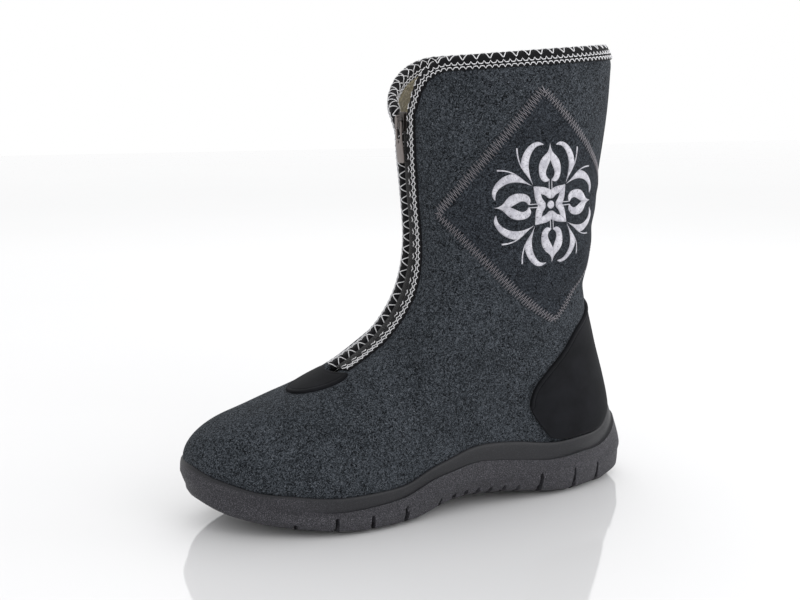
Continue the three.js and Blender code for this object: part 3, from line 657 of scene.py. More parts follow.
def liningEdge(flap):  # the felt edge of a flap, moved in by the margin
    ways = np.radians(np.linspace(0, 90, 13))[:, None]
    above = np.minimum(1, liningLevels + levelOf(lining["margin"]) * np.sin(ways))
    shy = (slitAt(above, flap) + lining["margin"] * np.cos(ways)).max(0)
    shy = shy * (liningLevels > zipLine["foot"] - 0.02)
    return angleAt(liningLevels, drift(liningLevels) + flap["side"] * (shy + 0.3))


open0, open1 = liningEdge(outerFlap), 2 * math.pi + liningEdge(innerFlap)
liningAngles = open0[:, None] + (open1 - open0)[:, None] * np.linspace(0, 1, lining["columns"])[None]
liningGrid = np.repeat(liningLevels[:, None], lining["columns"], 1)
backing = skin(liningGrid, liningAngles, np.full(liningGrid.shape, -last["wall"] - lining["gap"]))
pile = skin(liningGrid, liningAngles, -last["wall"] - lining["gap"] - lining["pile"]
            + lining["lump"] * lumps(backing, lining["lumpSize"], 5, 3))
dress(plate("fleeceLining", backing, pile), fleece)

count = footbed["columns"]
turns = np.linspace(0, 2 * math.pi, count + 1)[:-1]
foot = face(0, turns)
ring = skin(np.zeros(count), turns, np.full(count, -last["wall"] - footbed["gap"]))
middle = np.stack([ring[:, 0], np.full(count, footbed["middleY"]), foot[:, 2]], -1)
footbedTop = ring[None] + (middle - ring)[None] * np.linspace(0, 1, footbed["rings"])[:, None, None]
uneven = footbed["lump"] * lumps(footbedTop, footbed["lumpSize"], 8, 3)
footbedTop[..., 2] = foot[None, :, 2] + footbed["thick"] + uneven
footbedTop[0, :, 2] = foot[:, 2] + 0.3
ring[:, 2] = foot[:, 2]
points = np.concatenate([ring[None], footbedTop]).reshape(-1, 3)
fleeceFootbed = makeMesh("fleeceFootbed", points, quads(footbed["rings"] + 1, count, wrap=True))
dress(fleeceFootbed, fleece, stands=["insole"])
print("lining made")

# sole
sole = {"columns": 560, "wallRows": 26, "underRows": 26, "notch": 2.7, "notchDepth": 4.2, "slit": 2.0,
        "slitDepth": 3.2, "bevel": 0.9, "groove": 2.2, "soft": 0.35, "bandOut": 1.7, "noseOut": 2.2,
        "heelOut": 1.2, "heelIn": 2.5}
# underside: shares of the boot's length and the height above the ground there
floorShares = [-0.534, -0.498, -0.442, -0.39, -0.331, -0.259, -0.199, -0.072, -0.048, -0.02,
               0.02, 0.072, 0.147, 0.223, 0.279, 0.327, 0.446, 0.498, 0.534]
floorHeights = [19, 15, 9.3, 5.6, 3.2, 1.2, 0, 0.2, 1.2, 3.2, 5.6, 6.6, 5.4, 3.2, 1, 0, 0, 1, 3]
# rim of the sole round the foot: degrees from the toe, height, height of the smooth band
rimRows = np.array([[0, 35.2, 15.5], [11, 34.9, 15.5], [19, 32.3, 15], [31, 28.1, 13.5], [39, 25, 10.5],
                    [49, 23.5, 8.2], [59, 21.4, 7.8], [74, 21.6, 6.3], [82, 23.9, 5.2], [87, 28.6, 5.6],
                    [93, 32.5, 6.6], [99, 36.3, 8], [106, 37, 9.4], [113, 35.7, 10], [124, 32.3, 9.4],
                    [137, 32.7, 8.4], [148, 34, 9], [165, 44, 10.5], [180, 49, 12]])
rimHeight = smoothLine(rimRows[:, 0], rimRows[:, 1], True)
# side wall: share of the height, then how far it stands out at the forefoot, heel sides and heel back
wallRows = [(0, -2, -1, 8.5), (0.16, 3, 4, 12.6), (0.5, 5, 6.5, 12.4), (1, 3.8, 4.8, 6.3)]
# smooth band: share of its height, then how far it swells out; at the toe it rounds in
bandProfile = [(0.0, 0.7), (0.03, 0.15), (0.1, 0.1), (0.3, 0.15), (0.55, 0.1), (0.8, 0.0), (0.93, -0.2),
               (1.0, -0.6), (1.03, -1.2)]
noseProfile = ([0, 0.35, 0.75, 1], [0, 1.4, -2.2, -3.0])
# notches: share of the length, height, slant; slits between them under the arch
notches = [(-0.33, 5, 0.04), (-0.25, 10, 0.02), (-0.172, 11, 0), (-0.095, 11.5, 0),
           (0.245, 15, 0.06), (0.338, 16, 0), (0.415, 15, -0.06)]
slits = [-0.012, 0.024, 0.055, 0.086, 0.118, 0.152, 0.187]


def lengthwise(share):
    return share * last["length"] - last["centreX"]


def floorAt(x):
    return np.maximum(0, np.interp((x + last["centreX"]) / last["length"], floorShares, floorHeights))


def inCut(half, away, soft=sole["soft"]):  # 1 inside a cut, 0 beside it
    return np.clip((half - np.abs(away)) / soft, 0, 1)


def folded(th):
    d = np.degrees(th) % 360
    return np.minimum(d, 360 - d)


def levelAtHeight(th, z):
    low, high = np.zeros(len(th)), np.full(len(th), 0.45)
    for _ in range(24):
        middle = (low + high) / 2
        under = face(middle, th)[:, 2] < z
        low, high = np.where(under, middle, low), np.where(under, high, middle)
    return np.where(face(np.zeros(len(th)), th)[:, 2] > z, 0, (low + high) / 2)


def ringAt(th, heights, out):
    p = face(levelAtHeight(th, heights), th)
    p[:, 2] = heights
    d = np.roll(p, -1, 0) - np.roll(p, 1, 0)
    d[:, 2] = 0
    d = unit(d)
    p[:, 0] += d[:, 1] * out
    p[:, 1] -= d[:, 0] * out
    return p


def standOut(rise, d):  # of the side wall at a share of its height
    table = np.array(wallRows)
    fore, side, tail = (np.interp(rise, table[:, 0], table[:, k]) for k in (1, 2, 3))
    return fore + (side - fore) * ease((d - 100) / 40) + (tail - side) * ease((d - 145) / 30)


soleTurns = np.linspace(0, 2 * math.pi, sole["columns"] + 1)[:-1]
# more columns beside each notch and slit
guide = ringAt(soleTurns, np.full(len(soleTurns), 18.0), standOut(0.5, folded(soleTurns)))
extra = []
for share, width in [(n[0], sole["notch"]) for n in notches] + [(s, sole["slit"]) for s in slits]:
    for offset in (-0.55, -0.42, 0.42, 0.55):
        x = lengthwise(share) + offset * width
        for part in (slice(0, sole["columns"] // 2), slice(sole["columns"] // 2, None)):
            order = np.argsort(guide[part, 0])
            extra.append(np.interp(x, guide[part, 0][order], soleTurns[part][order]))
soleTurns = np.unique(np.round(np.concatenate([soleTurns, extra]), 5))
count = len(soleTurns)
d = folded(soleTurns)
rimZ = rimHeight(d)
stepZ = rimZ - np.interp(d, rimRows[:, 0], rimRows[:, 2])
flat = ringAt(soleTurns, np.full(count, 20.0), standOut(0.2, d))
lowZ = floorAt(flat[:, 0])
slope = 0.17 + 0.07 * ease((d - 145) / 30)
ledge = ease((d - 42) / 26)
nose = ease(1 - d / 40)  # at the toe the wall and the band are one round face
tail = ease((d - 150) / 25)
bandFoot = sole["bandOut"] + 0.2 * ease((d - 100) / 40) - 1.0 * tail + slope * (rimZ - stepZ)
bandFoot += sole["noseOut"] * nose
wall = []
for rise in np.linspace(0, 1, sole["wallRows"]):
    bulge = standOut(rise, d) - (sole["bevel"] * (1 - rise / 0.12) ** 2 if rise < 0.12 else 0)
    lower, upward = math.sin(math.pi / 2 * min(1, rise / 0.4)), ease((rise - 0.4) / 0.6)
    bulge += tail * (sole["heelOut"] * lower - sole["heelIn"] * upward)
    bulge += (bandFoot - bulge) * (1 - ledge) * ease((rise - 0.3) / 0.7)
    ring = ringAt(soleTurns, lowZ + (stepZ - lowZ) * rise, bulge)
    if rise == 0:
        ring[:, 2] = floorAt(ring[:, 0])
    wall.append(ring)
wall = np.array(wall)
inwardY = -np.sign(wall[..., 1] + 1e-6)
cutIn = np.zeros(wall.shape[:2])
above = wall[..., 2] - floorAt(wall[..., 0])
for share, high, slant in notches:  # cut in from the side
    x = lengthwise(share) + slant * above * inwardY
    half = sole["notch"] / 2 * np.clip(1 - above / high, 0, 1) ** 0.8
    cutIn = np.maximum(cutIn, sole["notchDepth"] * inCut(half, wall[..., 0] - x))
for share in slits:
    x = lengthwise(share) + 0.35 * (above - 1.6)
    half = sole["slit"] / 2 * np.clip(1 - (above - 1.8) / 5.0, 0, 1) ** 0.6 * (above > 1.6)
    cutIn = np.maximum(cutIn, sole["slitDepth"] * inCut(half, wall[..., 0] - x, 0.3))
wall[..., 1] += inwardY * cutIn
band = []
for share, swell in bandProfile:
    base = bandFoot - slope * (rimZ - stepZ) * min(share, 1) + nose * np.interp(share, *noseProfile)
    swell = swell * ledge if share < 0.8 else swell
    height = stepZ + (rimZ - stepZ) * min(share, 1.0) + (0.12 if share > 1 else 0)
    band.append(ringAt(soleTurns, height, base + swell))
cupLevels = levelAtHeight(soleTurns, rimZ)
cup = [skin(cupLevels * s, soleTurns, np.full(count, 0.35)) for s in (0.97, 0.6, 0.25, 0.0)]
bed = face(0, soleTurns)
bed[:, 2] -= 0.4
soleRings = np.array(list(wall) + band + cup + [bed])
grain = np.zeros(soleRings.shape[:2])
grain[:len(wall)] = 1 - 0.9 * np.exp(-(np.linspace(0, 1, len(wall)) / 0.1) ** 2)[:, None]
grain[len(wall):len(wall) + len(band) - 3] = 1 - ledge
# tread: rows in from the edge to the middle line
under = []
edge = wall[0].copy()
centreline = np.stack([edge[:, 0], np.full(count, 2.0), edge[:, 2]], -1)
for s in np.linspace(0, 1, sole["underRows"])[1:]:
    p = edge + (centreline - edge) * s
    p[:, 2] = floorAt(p[:, 0])
    for share, *_ in notches:
        x = lengthwise(share) + 1.5 * np.sin(p[:, 1] / 9)
        groove = sole["groove"] * inCut(sole["notch"] / 2, p[:, 0] - x)
        p[:, 2] = np.maximum(p[:, 2], floorAt(p[:, 0]) + groove)
    under.append(p)
under = np.array(under)[::-1]
allRings = np.concatenate([under, soleRings])
grainAll = np.concatenate([np.full(under.shape[:2], 0.3), grain])
faces = quads(len(allRings), count, wrap=True)
rubberSole = makeMesh("rubberSole", allRings.reshape(-1, 3), faces, values={"grain": grainAll}, sharp=48)
dress(rubberSole, rubber, stands=["sole"])
print("sole made", count, "columns")


def onFelt(v, th, out):  # a point on the felt with its creases, for what lies on it
    return skin(v, th, relief(v, th) + out)


def runLength(p):
    return np.concatenate([[0], np.cumsum(np.linalg.norm(np.diff(p, axis=0), axis=1))])


# braid folded over the zip edges and the collar
edging = {"leaf": 6.3, "inside": 6.9, "thick": 1.2, "fold": 1.2, "columns": 340}


def flapLevels(flap):
    straight = np.linspace(zipLine["bindingFoot"], 1 - levelOf(flap["down"]), 120, endpoint=False)
    return np.concatenate([straight, cornerLevels(flap, 44)])


def edgeLine(inward, out):  # line along the whole edging: mm in from the felt edge, mm out from the felt
    legs = []
    for flap in (outerFlap, innerFlap):
        v = flapLevels(flap)
        down, around = slipAt(v, flap)
        arc = drift(v) + flap["side"] * (slitAt(v, flap) + inward * around)
        low = v - levelOf(max(inward, 0)) * down
        leg = onFelt(low, angleAt(low, arc), out)
        leg[:, 2] += max(-inward, 0) * down
        legs.append(leg)
    first, final = (float(a) for a in slitEdges(1.0))
    turns = np.linspace(first, final, edging["columns"])[1:-1]
    collar = onFelt(np.full(len(turns), 1 - levelOf(max(inward, 0))), turns, out)
    collar[:, 2] += max(-inward, 0)
    return np.concatenate([legs[0], collar, legs[1][::-1]])


foldMiddle = -last["wall"] / 2
foldHalf = last["wall"] / 2 + edging["thick"]


def foldAt(degree, lift=0.0):  # way in and out of a point round the fold, 0 on the outer leaf and 180 inside
    a = math.radians(degree)
    return 0.8 - (2.0 + lift) * math.sin(a), foldMiddle + (foldHalf + lift) * math.cos(a)


leaf, inside, thick = edging["leaf"], edging["inside"], edging["thick"]
braidTop = [(leaf, 0.35), (leaf - 0.1, 0.8), (leaf - 0.5, 1.08), (leaf - 1.2, thick),
            (leaf * 0.6, thick + 0.05), (2.2, thick)]
braidTop += [foldAt(a) for a in range(0, 181, 15)]
braidTop += [(2.2, -last["wall"] - thick), (inside - 0.6, -last["wall"] - thick + 0.1),
             (inside, -last["wall"] - 0.8)]
braidUnder = [(min(i, leaf - 0.15), 0.1) if o > 0.2 and i > 0.9 else (i, -last["wall"] - 0.2) if i > 0.9
              else (i + 0.7, foldMiddle + (o - foldMiddle) * 0.7) for i, o in braidTop]
topLines = [edgeLine(i, o) for i, o in braidTop]
underLines = [edgeLine(i, o) for i, o in braidUnder]
along = runLength(topLines[6])
across = runLength(np.array([line[200] for line in topLines]))
braidUV = np.stack(np.meshgrid(along, across), -1)
edgeBraid = plate("edgeBraid", np.stack(topLines), np.stack(underLines), braidUV)
dress(edgeBraid, braid, stands=["edge_binding"])
print("edge braid made")

# zigzag rows on the braid: one that goes up over the fold and two small ones, on both leaves
threads = stitchTree()
zigzag = {"thread": 0.52, "lift": 0.16, "largeStitch": 6.7, "smallStitch": 3.35, "low": 1.1, "insideLow": 2.5,
          "upperRow": (2.15, 3.45), "lowerRow": (4.5, 5.75), "insideUpper": (3.1, 4.0),
          "insideLower": (5.0, 6.1)}
lift = zigzag["lift"]
inner = -last["wall"] - thick - lift


def overFold(name, profile, **sizes):  # to and fro over the profile, given as ways in and out
    grid = np.stack([edgeLine(i, o) for i, o in profile])
    along = runLength(grid[len(grid) // 2])
    where = np.arange(0, along[-1], 0.3)
    share = np.abs((where / zigzag["largeStitch"] * 2) % 2 - 1) * (len(grid) - 1)
    k = np.minimum(share.astype(int), len(grid) - 2)
    at = np.interp(where, along, np.arange(grid.shape[1]))
    j = np.minimum(at.astype(int), grid.shape[1] - 2)
    s, t = (share - k)[:, None], (at - j)[:, None]
    here = grid[k, j] * (1 - s) + grid[k + 1, j] * s
    after = grid[k, j + 1] * (1 - s) + grid[k + 1, j + 1] * s
    line = here * (1 - t) + after * t
    sewn(name, threads, line, line, line, whiteThread, "braid", Step=0.4 * mm, **sizes)


fold = [foldAt(a, lift) for a in range(0, 181, 15)]
overFold("largeZigzag", [(zigzag["low"], thick + lift)] + fold[:10], Thickness=zigzag["thread"] * mm)
overFold("insideZigzag", fold[9:] + [(zigzag["insideLow"], inner)], Thickness=zigzag["thread"] * mm)
smallRows = [("upperZigzag", zigzag["upperRow"], thick + lift, -0.85, 0.0),
             ("lowerZigzag", zigzag["lowerRow"], thick + lift, 0.85, 2.0),
             ("insideUpperRow", zigzag["insideUpper"], inner, -0.6, 0.0),
             ("insideLowerRow", zigzag["insideLower"], inner, 0.6, 2.0)]
for name, (high, low), out, waist, shift in smallRows:
    sewn(name, threads, edgeLine((high + low) / 2, out), edgeLine(high, out), edgeLine(low, out),
         whiteThread, "braid", Step=zigzag["smallStitch"] / 4 * mm, Thickness=zigzag["thread"] * mm,
         Uneven=0.1, Waist=waist, Shift=shift)
print("zigzag rows sewn")

# diamond patch on the outer side
diamond = {"centre": 0.672, "high": 0.256, "low": 0.267, "reach": 63.5, "tilt": 0.023, "side": 90,
           "thick": 0.95, "edge": 0.35, "edgeWide": 2.6, "steps": 130}
patchMiddle = ([0.405, 0.691, 0.926], np.radians([119, 99.2, 87.3]))


def patchAngle(v, sideways):
    return angleAt(v, arcTo(v, np.interp(v, *patchMiddle)) + sideways)


def patchPoint(a, b, out):  # a and b run 0 to 1 along the two sides of the diamond
    up = a + b - 1
    v = diamond["centre"] - diamond["tilt"] * (b - a) + np.where(up > 0, diamond["high"], diamond["low"]) * up
    return onFelt(v, patchAngle(v, (b - a) * diamond["reach"]), out)


t = np.linspace(0, 1, diamond["steps"])
a, b = np.meshgrid(t, t, indexing="ij")
border = np.minimum(np.minimum(a, 1 - a), np.minimum(b, 1 - b)) * diamond["side"]
rise = diamond["edge"] + (diamond["thick"] - diamond["edge"]) * ease(border / diamond["edgeWide"])
patch = plate("diamondPatch", patchPoint(a, b, rise), patchPoint(a, b, np.full(a.shape, -0.1)))
dress(patch, patchFelt, stands=["side_patch"])

borderStitch = {"stitch": 1.9, "half": 2.6, "thread": 0.34, "points": 90}
along = np.linspace(0, 1, borderStitch["points"], endpoint=False)
one, nought, off = np.ones(len(along)), np.zeros(len(along)), borderStitch["half"] / diamond["side"]
ways = [(nought, along, -1, 0), (along, one, 0, 1), (one, 1 - along, 1, 0), (1 - along, nought, 0, -1)]
lines = [np.concatenate([patchPoint(a + da * k * off, b + db * k * off, out) for a, b, da, db in ways])
         for k, out in ((0, 0.75), (1, 0.24), (-1, diamond["thick"] + 0.16))]
sewn("patchStitches", threads, *lines, greyThread, "patch_felt", closed=True, Uneven=0.07, Seed=4,
     Step=borderStitch["stitch"] / 4 * mm, Thickness=borderStitch["thread"] * mm)
print("patch sewn on")

# folk star in satin stitch; outlines in shares of the star's reach, for the left half of its upper quarter
star = {"reach": 32.5, "level": 0.693, "perMm": 1 / 256, "skew": -0.0002, "shear": 0.055, "aside": -0.9,
        "backward": 0.94, "core": 0.068, "base": 0.9, "dome": 0.55, "across": 9}


def starPoint(x, y, out):
    right = (np.where(x > 0, x * star["backward"], x) + star["shear"] * y) * star["reach"] + star["aside"]
    up = y * star["reach"]
    v = star["level"] + up * star["perMm"] + right * star["skew"]
    return onFelt(v, patchAngle(v, right), out)


def smoothPath(points, count):
    points = np.array(points, float)
    at = runLength(points)
    where = np.linspace(0, at[-1], count)
    if len(points) < 3:
        return np.stack([np.interp(where, at, points[:, k]) for k in (0, 1)], -1)
    return np.stack([smoothLine(at, points[:, k])(where) for k in (0, 1)], -1)


starShapes = {
    "petal": ([(0, 1.0), (-0.045, 0.864), (-0.141, 0.775), (-0.205, 0.663), (-0.213, 0.55), (-0.173, 0.422),
               (-0.093, 0.374), (-0.02, 0.4)],
              [(0, 0.727), (-0.048, 0.625), (-0.084, 0.53), (-0.074, 0.47), (-0.02, 0.415)]),
    "crescent": ([(-0.321, 0.334), (-0.425, 0.486), (-0.522, 0.639), (-0.506, 0.775), (-0.409, 0.928),
                  (-0.297, 1.005), (-0.2, 1.02), (-0.124, 0.984)],
                 [(-0.321, 0.334), (-0.369, 0.47), (-0.393, 0.615), (-0.38, 0.743), (-0.321, 0.872),
                  (-0.233, 0.952), (-0.124, 0.971)]),
    "tendril": ([(-0.514, 0.6), (-0.56, 0.7), (-0.592, 0.823), (-0.6, 0.928)],
                [(-0.514, 0.639), (-0.546, 0.719), (-0.567, 0.815), (-0.573, 0.928)]),
    "arm": ([(0, 0.245), (-0.088, 0.285), (-0.2, 0.305), (-0.31, 0.316)],
            [(0, 0.1), (-0.04, 0.105), (-0.09, 0.145), (-0.14, 0.172), (-0.188, 0.186), (-0.25, 0.247),
             (-0.31, 0.308)]),
    "stem": ([(-0.02, 0.23), (-0.02, 0.41)], [(-0.034, 0.23), (-0.034, 0.41)]),
}


def satinPart(outer, inner, quarter, mirror):  # domed between its two edges
    count = max(8, int(runLength(np.array(outer, float))[-1] * star["reach"] / 0.9))
    first, second = smoothPath(outer, count), smoothPath(inner, count)
    t = np.linspace(0, 1, star["across"])[:, None, None]
    flat = first[None] * (1 - t) + second[None] * t
    x, y = flat[..., 0] * (-1 if mirror else 1), flat[..., 1]
    for _ in range(quarter):
        x, y = y, -x
    width = np.linalg.norm(first - second, axis=1) * star["reach"]
    ends = np.minimum(runLength(first), runLength(first)[::-1]) * star["reach"]
    dome = star["dome"] * np.minimum(1, width / 2.5) * np.clip(ends / 0.8, 0.3, 1) ** 0.5
    swell = star["base"] + 0.05 + np.sqrt(np.maximum(0, 1 - (2 * t[..., 0] - 1) ** 2)) * dome[None]
    uv = np.stack(np.broadcast_arrays(runLength((first + second) / 2)[None] * star["reach"] + quarter * 37,
                                      t[..., 0] * np.maximum(width, 0.4)[None] + 11 * mirror), -1)
    return starPoint(x, y, swell), starPoint(x, y, np.full(x.shape, star["base"] - 0.25)), uv


starParts = [satinPart(outer, inner, quarter, mirror) for outer, inner in starShapes.values()
             for quarter in range(4) for mirror in (False, True)]
circle = np.linspace(0, 2 * math.pi, 33)
core = np.stack([np.cos(circle), np.sin(circle)], -1) * star["core"]
starParts += [satinPart(core[k:k + 17], core[k:k + 17] * [1, 0], 0, False) for k in (0, 16)]
dress(manyPlates("satinStar", starParts), satin)
print("star embroidered")

# heel counter: degrees from the toe, lower and upper level
counter = {"out": 0.45, "thick": 1.15, "rolled": 0.35, "rollWidth": 2.0, "groove": 0.35, "columns": 240,
           "rows": 90}
counterTable = np.array([[117.1, 0.146, 0.156], [118, 0.128, 0.186], [120.8, 0.098, 0.22],
                         [124.3, 0.07, 0.25], [130.6, 0.06, 0.298], [137.3, 0.06, 0.344], [145, 0.06, 0.365],
                         [153, 0.06, 0.378], [166, 0.06, 0.392], [180, 0.06, 0.402]])
mirrored = counterTable[-2::-1] * [-1, 1, 1] + [360, 0, 0]
wholeTable = np.concatenate([counterTable, mirrored])
walk = runLength(wholeTable * [1.1, 250, 250])
where = np.linspace(0, walk[-1], counter["columns"])
counterDegrees, counterHigh = (smoothLine(walk, wholeTable[:, k])(where) for k in (0, 2))
counterTurn = np.radians(counterDegrees)
side = np.minimum(counterDegrees, 360 - counterDegrees)
rimLevel = levelAtHeight(counterTurn, rimHeight(side) + 1.0)
counterLow = np.maximum(np.interp(where, walk, wholeTable[:, 1]), rimLevel * ease((side - 119.5) / 3))
counterHigh = np.maximum(counterHigh, counterLow + 0.004)
t = np.linspace(0, 1, counter["rows"])[:, None]
v = counterLow + (counterHigh - counterLow) * t
th = np.broadcast_to(counterTurn, v.shape)


def edgeDistance(points, edge):
    nearest = [np.linalg.norm(edge - q, axis=1).min() for q in points.reshape(-1, 3)]
    return np.array(nearest).reshape(points.shape[:2])


ground = onFelt(v, th, np.zeros(v.shape))
topEdge = np.concatenate([ground[:, 0][ground[:, 0, 2] > 0], ground[-1], ground[:, -1]])
away = edgeDistance(ground, topEdge)
roll = np.sqrt(np.clip(1 - (away / counter["rollWidth"] * 2 - 1) ** 2, 0, 1)) * counter["rolled"]
seam = -counter["groove"] * np.exp(-((away - counter["rollWidth"] - 0.35) / 0.3) ** 2)
body = counter["thick"] * np.clip(0.35 + away / 0.5, 0, 1)
top = onFelt(v, th, counter["out"] + body + roll + seam)
heel = plate("heelCounter", top, onFelt(v, th, np.full(v.shape, 0.05)))
dress(heel, nubuck, stands=["heel_counter"])

# tab over the foot of the zip: level, half width in mm
tab = {"thick": 1.35, "edge": 1.0, "seam": 2.2, "seamDepth": 0.22, "columns": 60, "rows": 44, "shift": 1.0}
tabTable = np.array([[0.3015, 0.5], [0.3022, 4.5], [0.306, 9], [0.313, 13], [0.322, 15.8], [0.333, 17.3],
                     [0.348, 17.1], [0.361, 15.2], [0.37, 12.5]])
walk = runLength(tabTable * [250, 1])
where = np.linspace(0, walk[-1], tab["rows"])
tabLevel, tabHalf = (smoothLine(walk, tabTable[:, k])(where) for k in (0, 1))
share = np.linspace(1, -1, tab["columns"])[None]
v = np.broadcast_to(tabLevel[:, None], (tab["rows"], tab["columns"]))
th = angleAt(v, drift(v) + tab["shift"] + tabHalf[:, None] * share)
ground = onFelt(v, th, np.zeros(v.shape))
outline = np.concatenate([ground[:, 0], ground[-1], ground[:, -1], ground[0]])
away = edgeDistance(ground, outline)
lifted = tab["thick"] * np.sqrt(np.clip(1 - (1 - np.clip(away / tab["edge"], 0, 1)) ** 2, 0.02, 1))
lifted -= tab["seamDepth"] * np.exp(-((away - tab["seam"]) / 0.28) ** 2)
zipTab = plate("zipTab", onFelt(v, th, 0.1 + lifted), ground)
dress(zipTab, nubuck, stands=["zip_tab"])
print("counter and tab made")

# zip: tape, two nylon coils
coil = {"tapeHalf": 4.7, "tapeOut": -1.15, "tapeThick": 0.8, "pitch": 1.4, "thread": 0.62, "reach": 2.3,
        "lap": 0.35, "out": -0.95}
zipLevels = np.linspace(zipLine["start"], zipLine["top"], 200)


def zipRow(sideways, out):
    return skin(zipLevels, angleAt(zipLevels, drift(zipLevels) + sideways), out)


tapeRows = np.linspace(coil["tapeHalf"], -coil["tapeHalf"], 12)
tape = plate("zipTape", np.stack([zipRow(k, coil["tapeOut"]) for k in tapeRows]),
             np.stack([zipRow(k, coil["tapeOut"] - coil["tapeThick"]) for k in tapeRows]))
dress(tape, tapeCloth, stands=["zip_tape"])
for name, way, shift in (("outerCoil", 1, 0.0), ("innerCoil", -1, 2.0)):
    sewn(name, threads, zipRow(way * (coil["reach"] - coil["lap"]) / 2, coil["out"] + 0.12),
         zipRow(way * coil["reach"], coil["out"] - 0.1), zipRow(-way * coil["lap"], coil["out"]),
         tapeCloth, "tape", Step=coil["pitch"] / 4 * mm, Thickness=coil["thread"] * mm, Shift=shift)
print("zip made")

# slider and pull, in a frame on the zip: out from the felt, across, up along the zip
seat = face(zipLine["slider"], 0.0)
zipUp = unit(face(zipLine["slider"] + 0.02, 0.0) - face(zipLine["slider"] - 0.02, 0.0))
zipOutward = np.array([-zipUp[2], 0, zipUp[0]])
sliderSizes = {"base": -0.5, "top": 2.1, "long": 10.6, "wide": 7.2, "plate": 0.8, "cover": 0.9,
               "bridgeTop": 5.1, "bridgeWide": 1.9, "bridgeHalf": 3.7, "bridgeThick": 0.95, "axisUp": 0.4}
pullSizes = {"long": 22, "wide": 8.0, "thick": 1.0, "slotWide": 4.2, "slotLong": 8.8, "neck": 6.6,
             "neckDown": 10.5, "headDown": 12.4, "hole": 0.8, "holeDown": 11.3, "bend": 1.2}


def roundedLoop(corners, radii, steps=5):  # polygon with rounded corners, a radius for each
    corners = np.array(corners, float)
    out = []
    for k, c in enumerate(corners):
        before, after = unit(corners[k - 1] - c), unit(corners[(k + 1) % len(corners)] - c)
        half = math.acos(float(np.clip(before @ after, -1, 1))) / 2
        reach = radii[k] / math.tan(half)
        for t in np.linspace(0, 1, steps):
            out.append(c + before * reach * (1 - t) ** 2 + after * reach * t ** 2)
    return out


def stamped(name, loops, low, high, bevel, place):  # outline with holes, given a thickness and soft edges
    curve = bpy.data.curves.new(name, "CURVE")
    curve.dimensions, curve.fill_mode = "2D", "BOTH"
    curve.extrude, curve.bevel_depth = (high - low) / 2 - bevel, bevel
    curve.bevel_resolution, curve.offset = 2, -bevel
    for loop in loops:
        spline = curve.splines.new("POLY")
        spline.points.add(len(loop) - 1)
        for point, (x, y) in zip(spline.points, loop):
            point.co = (x, y, 0, 1)
        spline.use_cyclic_u = True
    carrier = bpy.data.objects.new(name, curve)
    mesh = bpy.data.meshes.new_from_object(carrier)
    bpy.data.objects.remove(carrier)
    work = bmesh.new()
    work.from_mesh(mesh)
    bmesh.ops.remove_doubles(work, verts=work.verts, dist=1e-4)
    for vertex in work.verts:
        x, y, z = vertex.co
        vertex.co = place(x, y, z + (low + high) / 2)
    bmesh.ops.recalc_face_normals(work, faces=work.faces)
    work.to_mesh(mesh)
    work.free()
    mesh.polygons.foreach_set("use_smooth", [True] * len(mesh.polygons))
    mesh.set_sharp_from_angle(angle=math.radians(35))
    return mesh


def joined(name, meshes):
    work = bmesh.new()
    for mesh in meshes:
        work.from_mesh(mesh)
    whole = bpy.data.meshes.new(name)
    work.to_mesh(whole)
    work.free()
    piece = bpy.data.objects.new(name, whole)
    bpy.context.scene.collection.objects.link(piece)
    return piece


def facing(across, up, out):  # drawn on the zip's face
    return Vector((seat + zipOutward * out + np.array([0, across, 0]) + zipUp * up) * mm)


def sideways(out, up, across):  # drawn from the side
    return facing(across, up, out)


def hanging(across, up, out):  # drawn on the zip's face, bent in a little towards the end
    return facing(across, up, out - pullSizes["bend"] * (max(0, -up) / pullSizes["long"]) ** 2)


def mirroredLoop(right, radii):  # the right half of an outline from the top down, and the same on the left
    return roundedLoop(right + [(-x, y) for x, y in right[::-1]], radii + radii[::-1])


k = sliderSizes
half, wide = k["long"] / 2, k["wide"] / 2
shield = mirroredLoop([(wide, half), (wide, 0.6), (wide - 1.1, -half)], [1.6, 2, 1.4])
waistline = mirroredLoop([(wide - 0.7, half - 0.3), (wide - 1.4, -half + 0.3)], [1.0, 1.0])
foot, head, reach = k["top"] - 0.6, k["bridgeTop"], k["bridgeHalf"]
arch = roundedLoop([(foot, -reach), (head, -reach), (head, reach), (foot, reach)], [0.2, 1.7, 1.7, 0.2])
within, under = reach - 1.15, head - k["bridgeThick"]
opening = roundedLoop([(foot, within), (under, within), (under, -within), (foot, -within)],
                      [0.1, 0.8, 0.8, 0.1])
slider = joined("zipSlider", [
    stamped("plates", [shield], k["base"], k["base"] + k["plate"], 0.25, facing),
    stamped("core", [waistline], k["base"] + 0.5, k["top"] - 0.5, 0.1, facing),
    stamped("cover", [shield], k["top"] - k["cover"], k["top"], 0.3, facing)])
# the slider body wears the darker nickel copy, which is painted shade
dress(slider, nickelPaintedShade, stands=["zip_slider"])
bridge = joined("sliderBridge", [
    stamped("bridge", [arch, opening], -k["bridgeWide"] / 2, k["bridgeWide"] / 2, 0.25, sideways)])
dress(bridge, nickel)

axisOut = (k["top"] + under) / 2 + 0.1
q = pullSizes
high = k["axisUp"] + q["thick"] / 2
low = high - q["long"] - q["thick"] / 2
half = q["wide"] / 2
outline = mirroredLoop([(half - 0.5, high), (q["neck"] / 2, high - q["neckDown"]),
                        (half, high - q["headDown"]), (half, low)], [1.6, 2.5, 1.2, 1.3])
half = q["slotWide"] / 2
slot = mirroredLoop([(half, -0.1), (half, -q["slotLong"])], [0.7, 0.7])
hole = [(q["hole"] * math.cos(a), high - q["holeDown"] + q["hole"] * math.sin(a))
        for a in np.linspace(0, 2 * math.pi, 17)[:-1]]
inFace, outFace = axisOut - q["thick"] / 2, axisOut + q["thick"] / 2
pull = joined("zipPull", [stamped("pullPlate", [outline, slot, hole], inFace, outFace, 0.25, hanging)])
dress(pull, nickel, body="pull", stands=["zip_pull"])
print("slider and pull made")

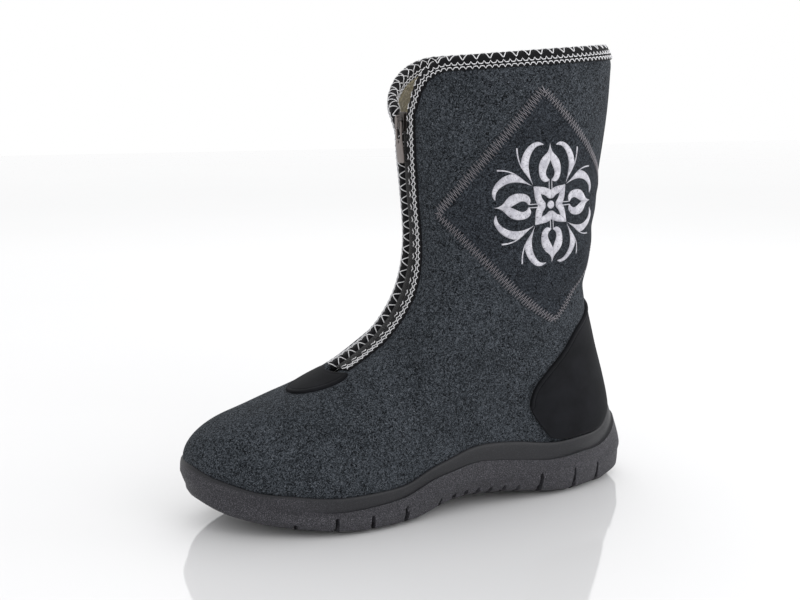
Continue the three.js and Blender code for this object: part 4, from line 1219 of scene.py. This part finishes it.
# camera, floor, light
view = {"yaw": 24.16, "tilt": 10.19, "away": 0.620, "target": (-0.0092, -0.00065, 0.1126), "lens": 51.03}
yaw, tilt = math.radians(view["yaw"]), math.radians(view["tilt"])
back = Vector((-math.sin(yaw) * math.cos(tilt), -math.cos(yaw) * math.cos(tilt), math.sin(tilt)))
camera = bpy.data.objects.new("camera", bpy.data.cameras.new("camera"))
bpy.context.scene.collection.objects.link(camera)
camera.location = Vector(view["target"]) + back * view["away"]
camera.rotation_mode = "QUATERNION"
camera.rotation_quaternion = (-back).to_track_quat("-Z", "Y")
camera.data.lens, camera.data.sensor_width = view["lens"], 36
bpy.context.scene.camera = camera
bpy.context.scene.view_settings.view_transform = "Standard"


def lamp(name, place, aim, size, power):
    light = bpy.data.objects.new(name, bpy.data.lights.new(name, "AREA"))
    light.data.energy, light.data.size = power, size
    light.location = place
    light.rotation_mode = "QUATERNION"
    light.rotation_quaternion = (Vector(aim) - Vector(place)).to_track_quat("-Z", "Y")
    bpy.context.scene.collection.objects.link(light)


lamp("key", (0.55, -1.2, 0.75), (0, 0, 0.12), 0.9, 4)
lamp("fill", (1.2, -0.3, 0.6), (0, 0, 0.12), 0.8, 4)
lamp("rimLight", (0.3, 1.1, 1.1), (0, 0, 0.15), 0.8, 2)
world = bpy.data.worlds.new("studio")
bpy.context.scene.world = world
world.use_nodes = True
world.node_tree.nodes["Background"].inputs["Color"].default_value = (1, 1, 1, 1)
world.node_tree.nodes["Background"].inputs["Strength"].default_value = 1.0

paleFloor, w, plug = blank("paleFloor", IOR=2.5, Roughness=0.06)
at = w.node("ShaderNodeTexCoord", out=3)
plug(Base_Color=at.noise(3, 2, 0.5).between((0.85, 0.85, 0.86), (0.88, 0.88, 0.89)))
ground = bpy.data.meshes.new("floor")
ground.from_pydata([(-4, -4, 0), (4, -4, 0), (4, 4, 0), (-4, 4, 0)], [], [(0, 1, 2, 3)])
ground.materials.append(paleFloor)
floor = bpy.data.objects.new("floor", ground)
bpy.context.scene.collection.objects.link(floor)
floor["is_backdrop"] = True

low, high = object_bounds()
print("size past the packed part:", [round(a - b, 4) for a, b in zip(high, cadHigh)],
      [round(a - b, 4) for a, b in zip(low, cadLow)])
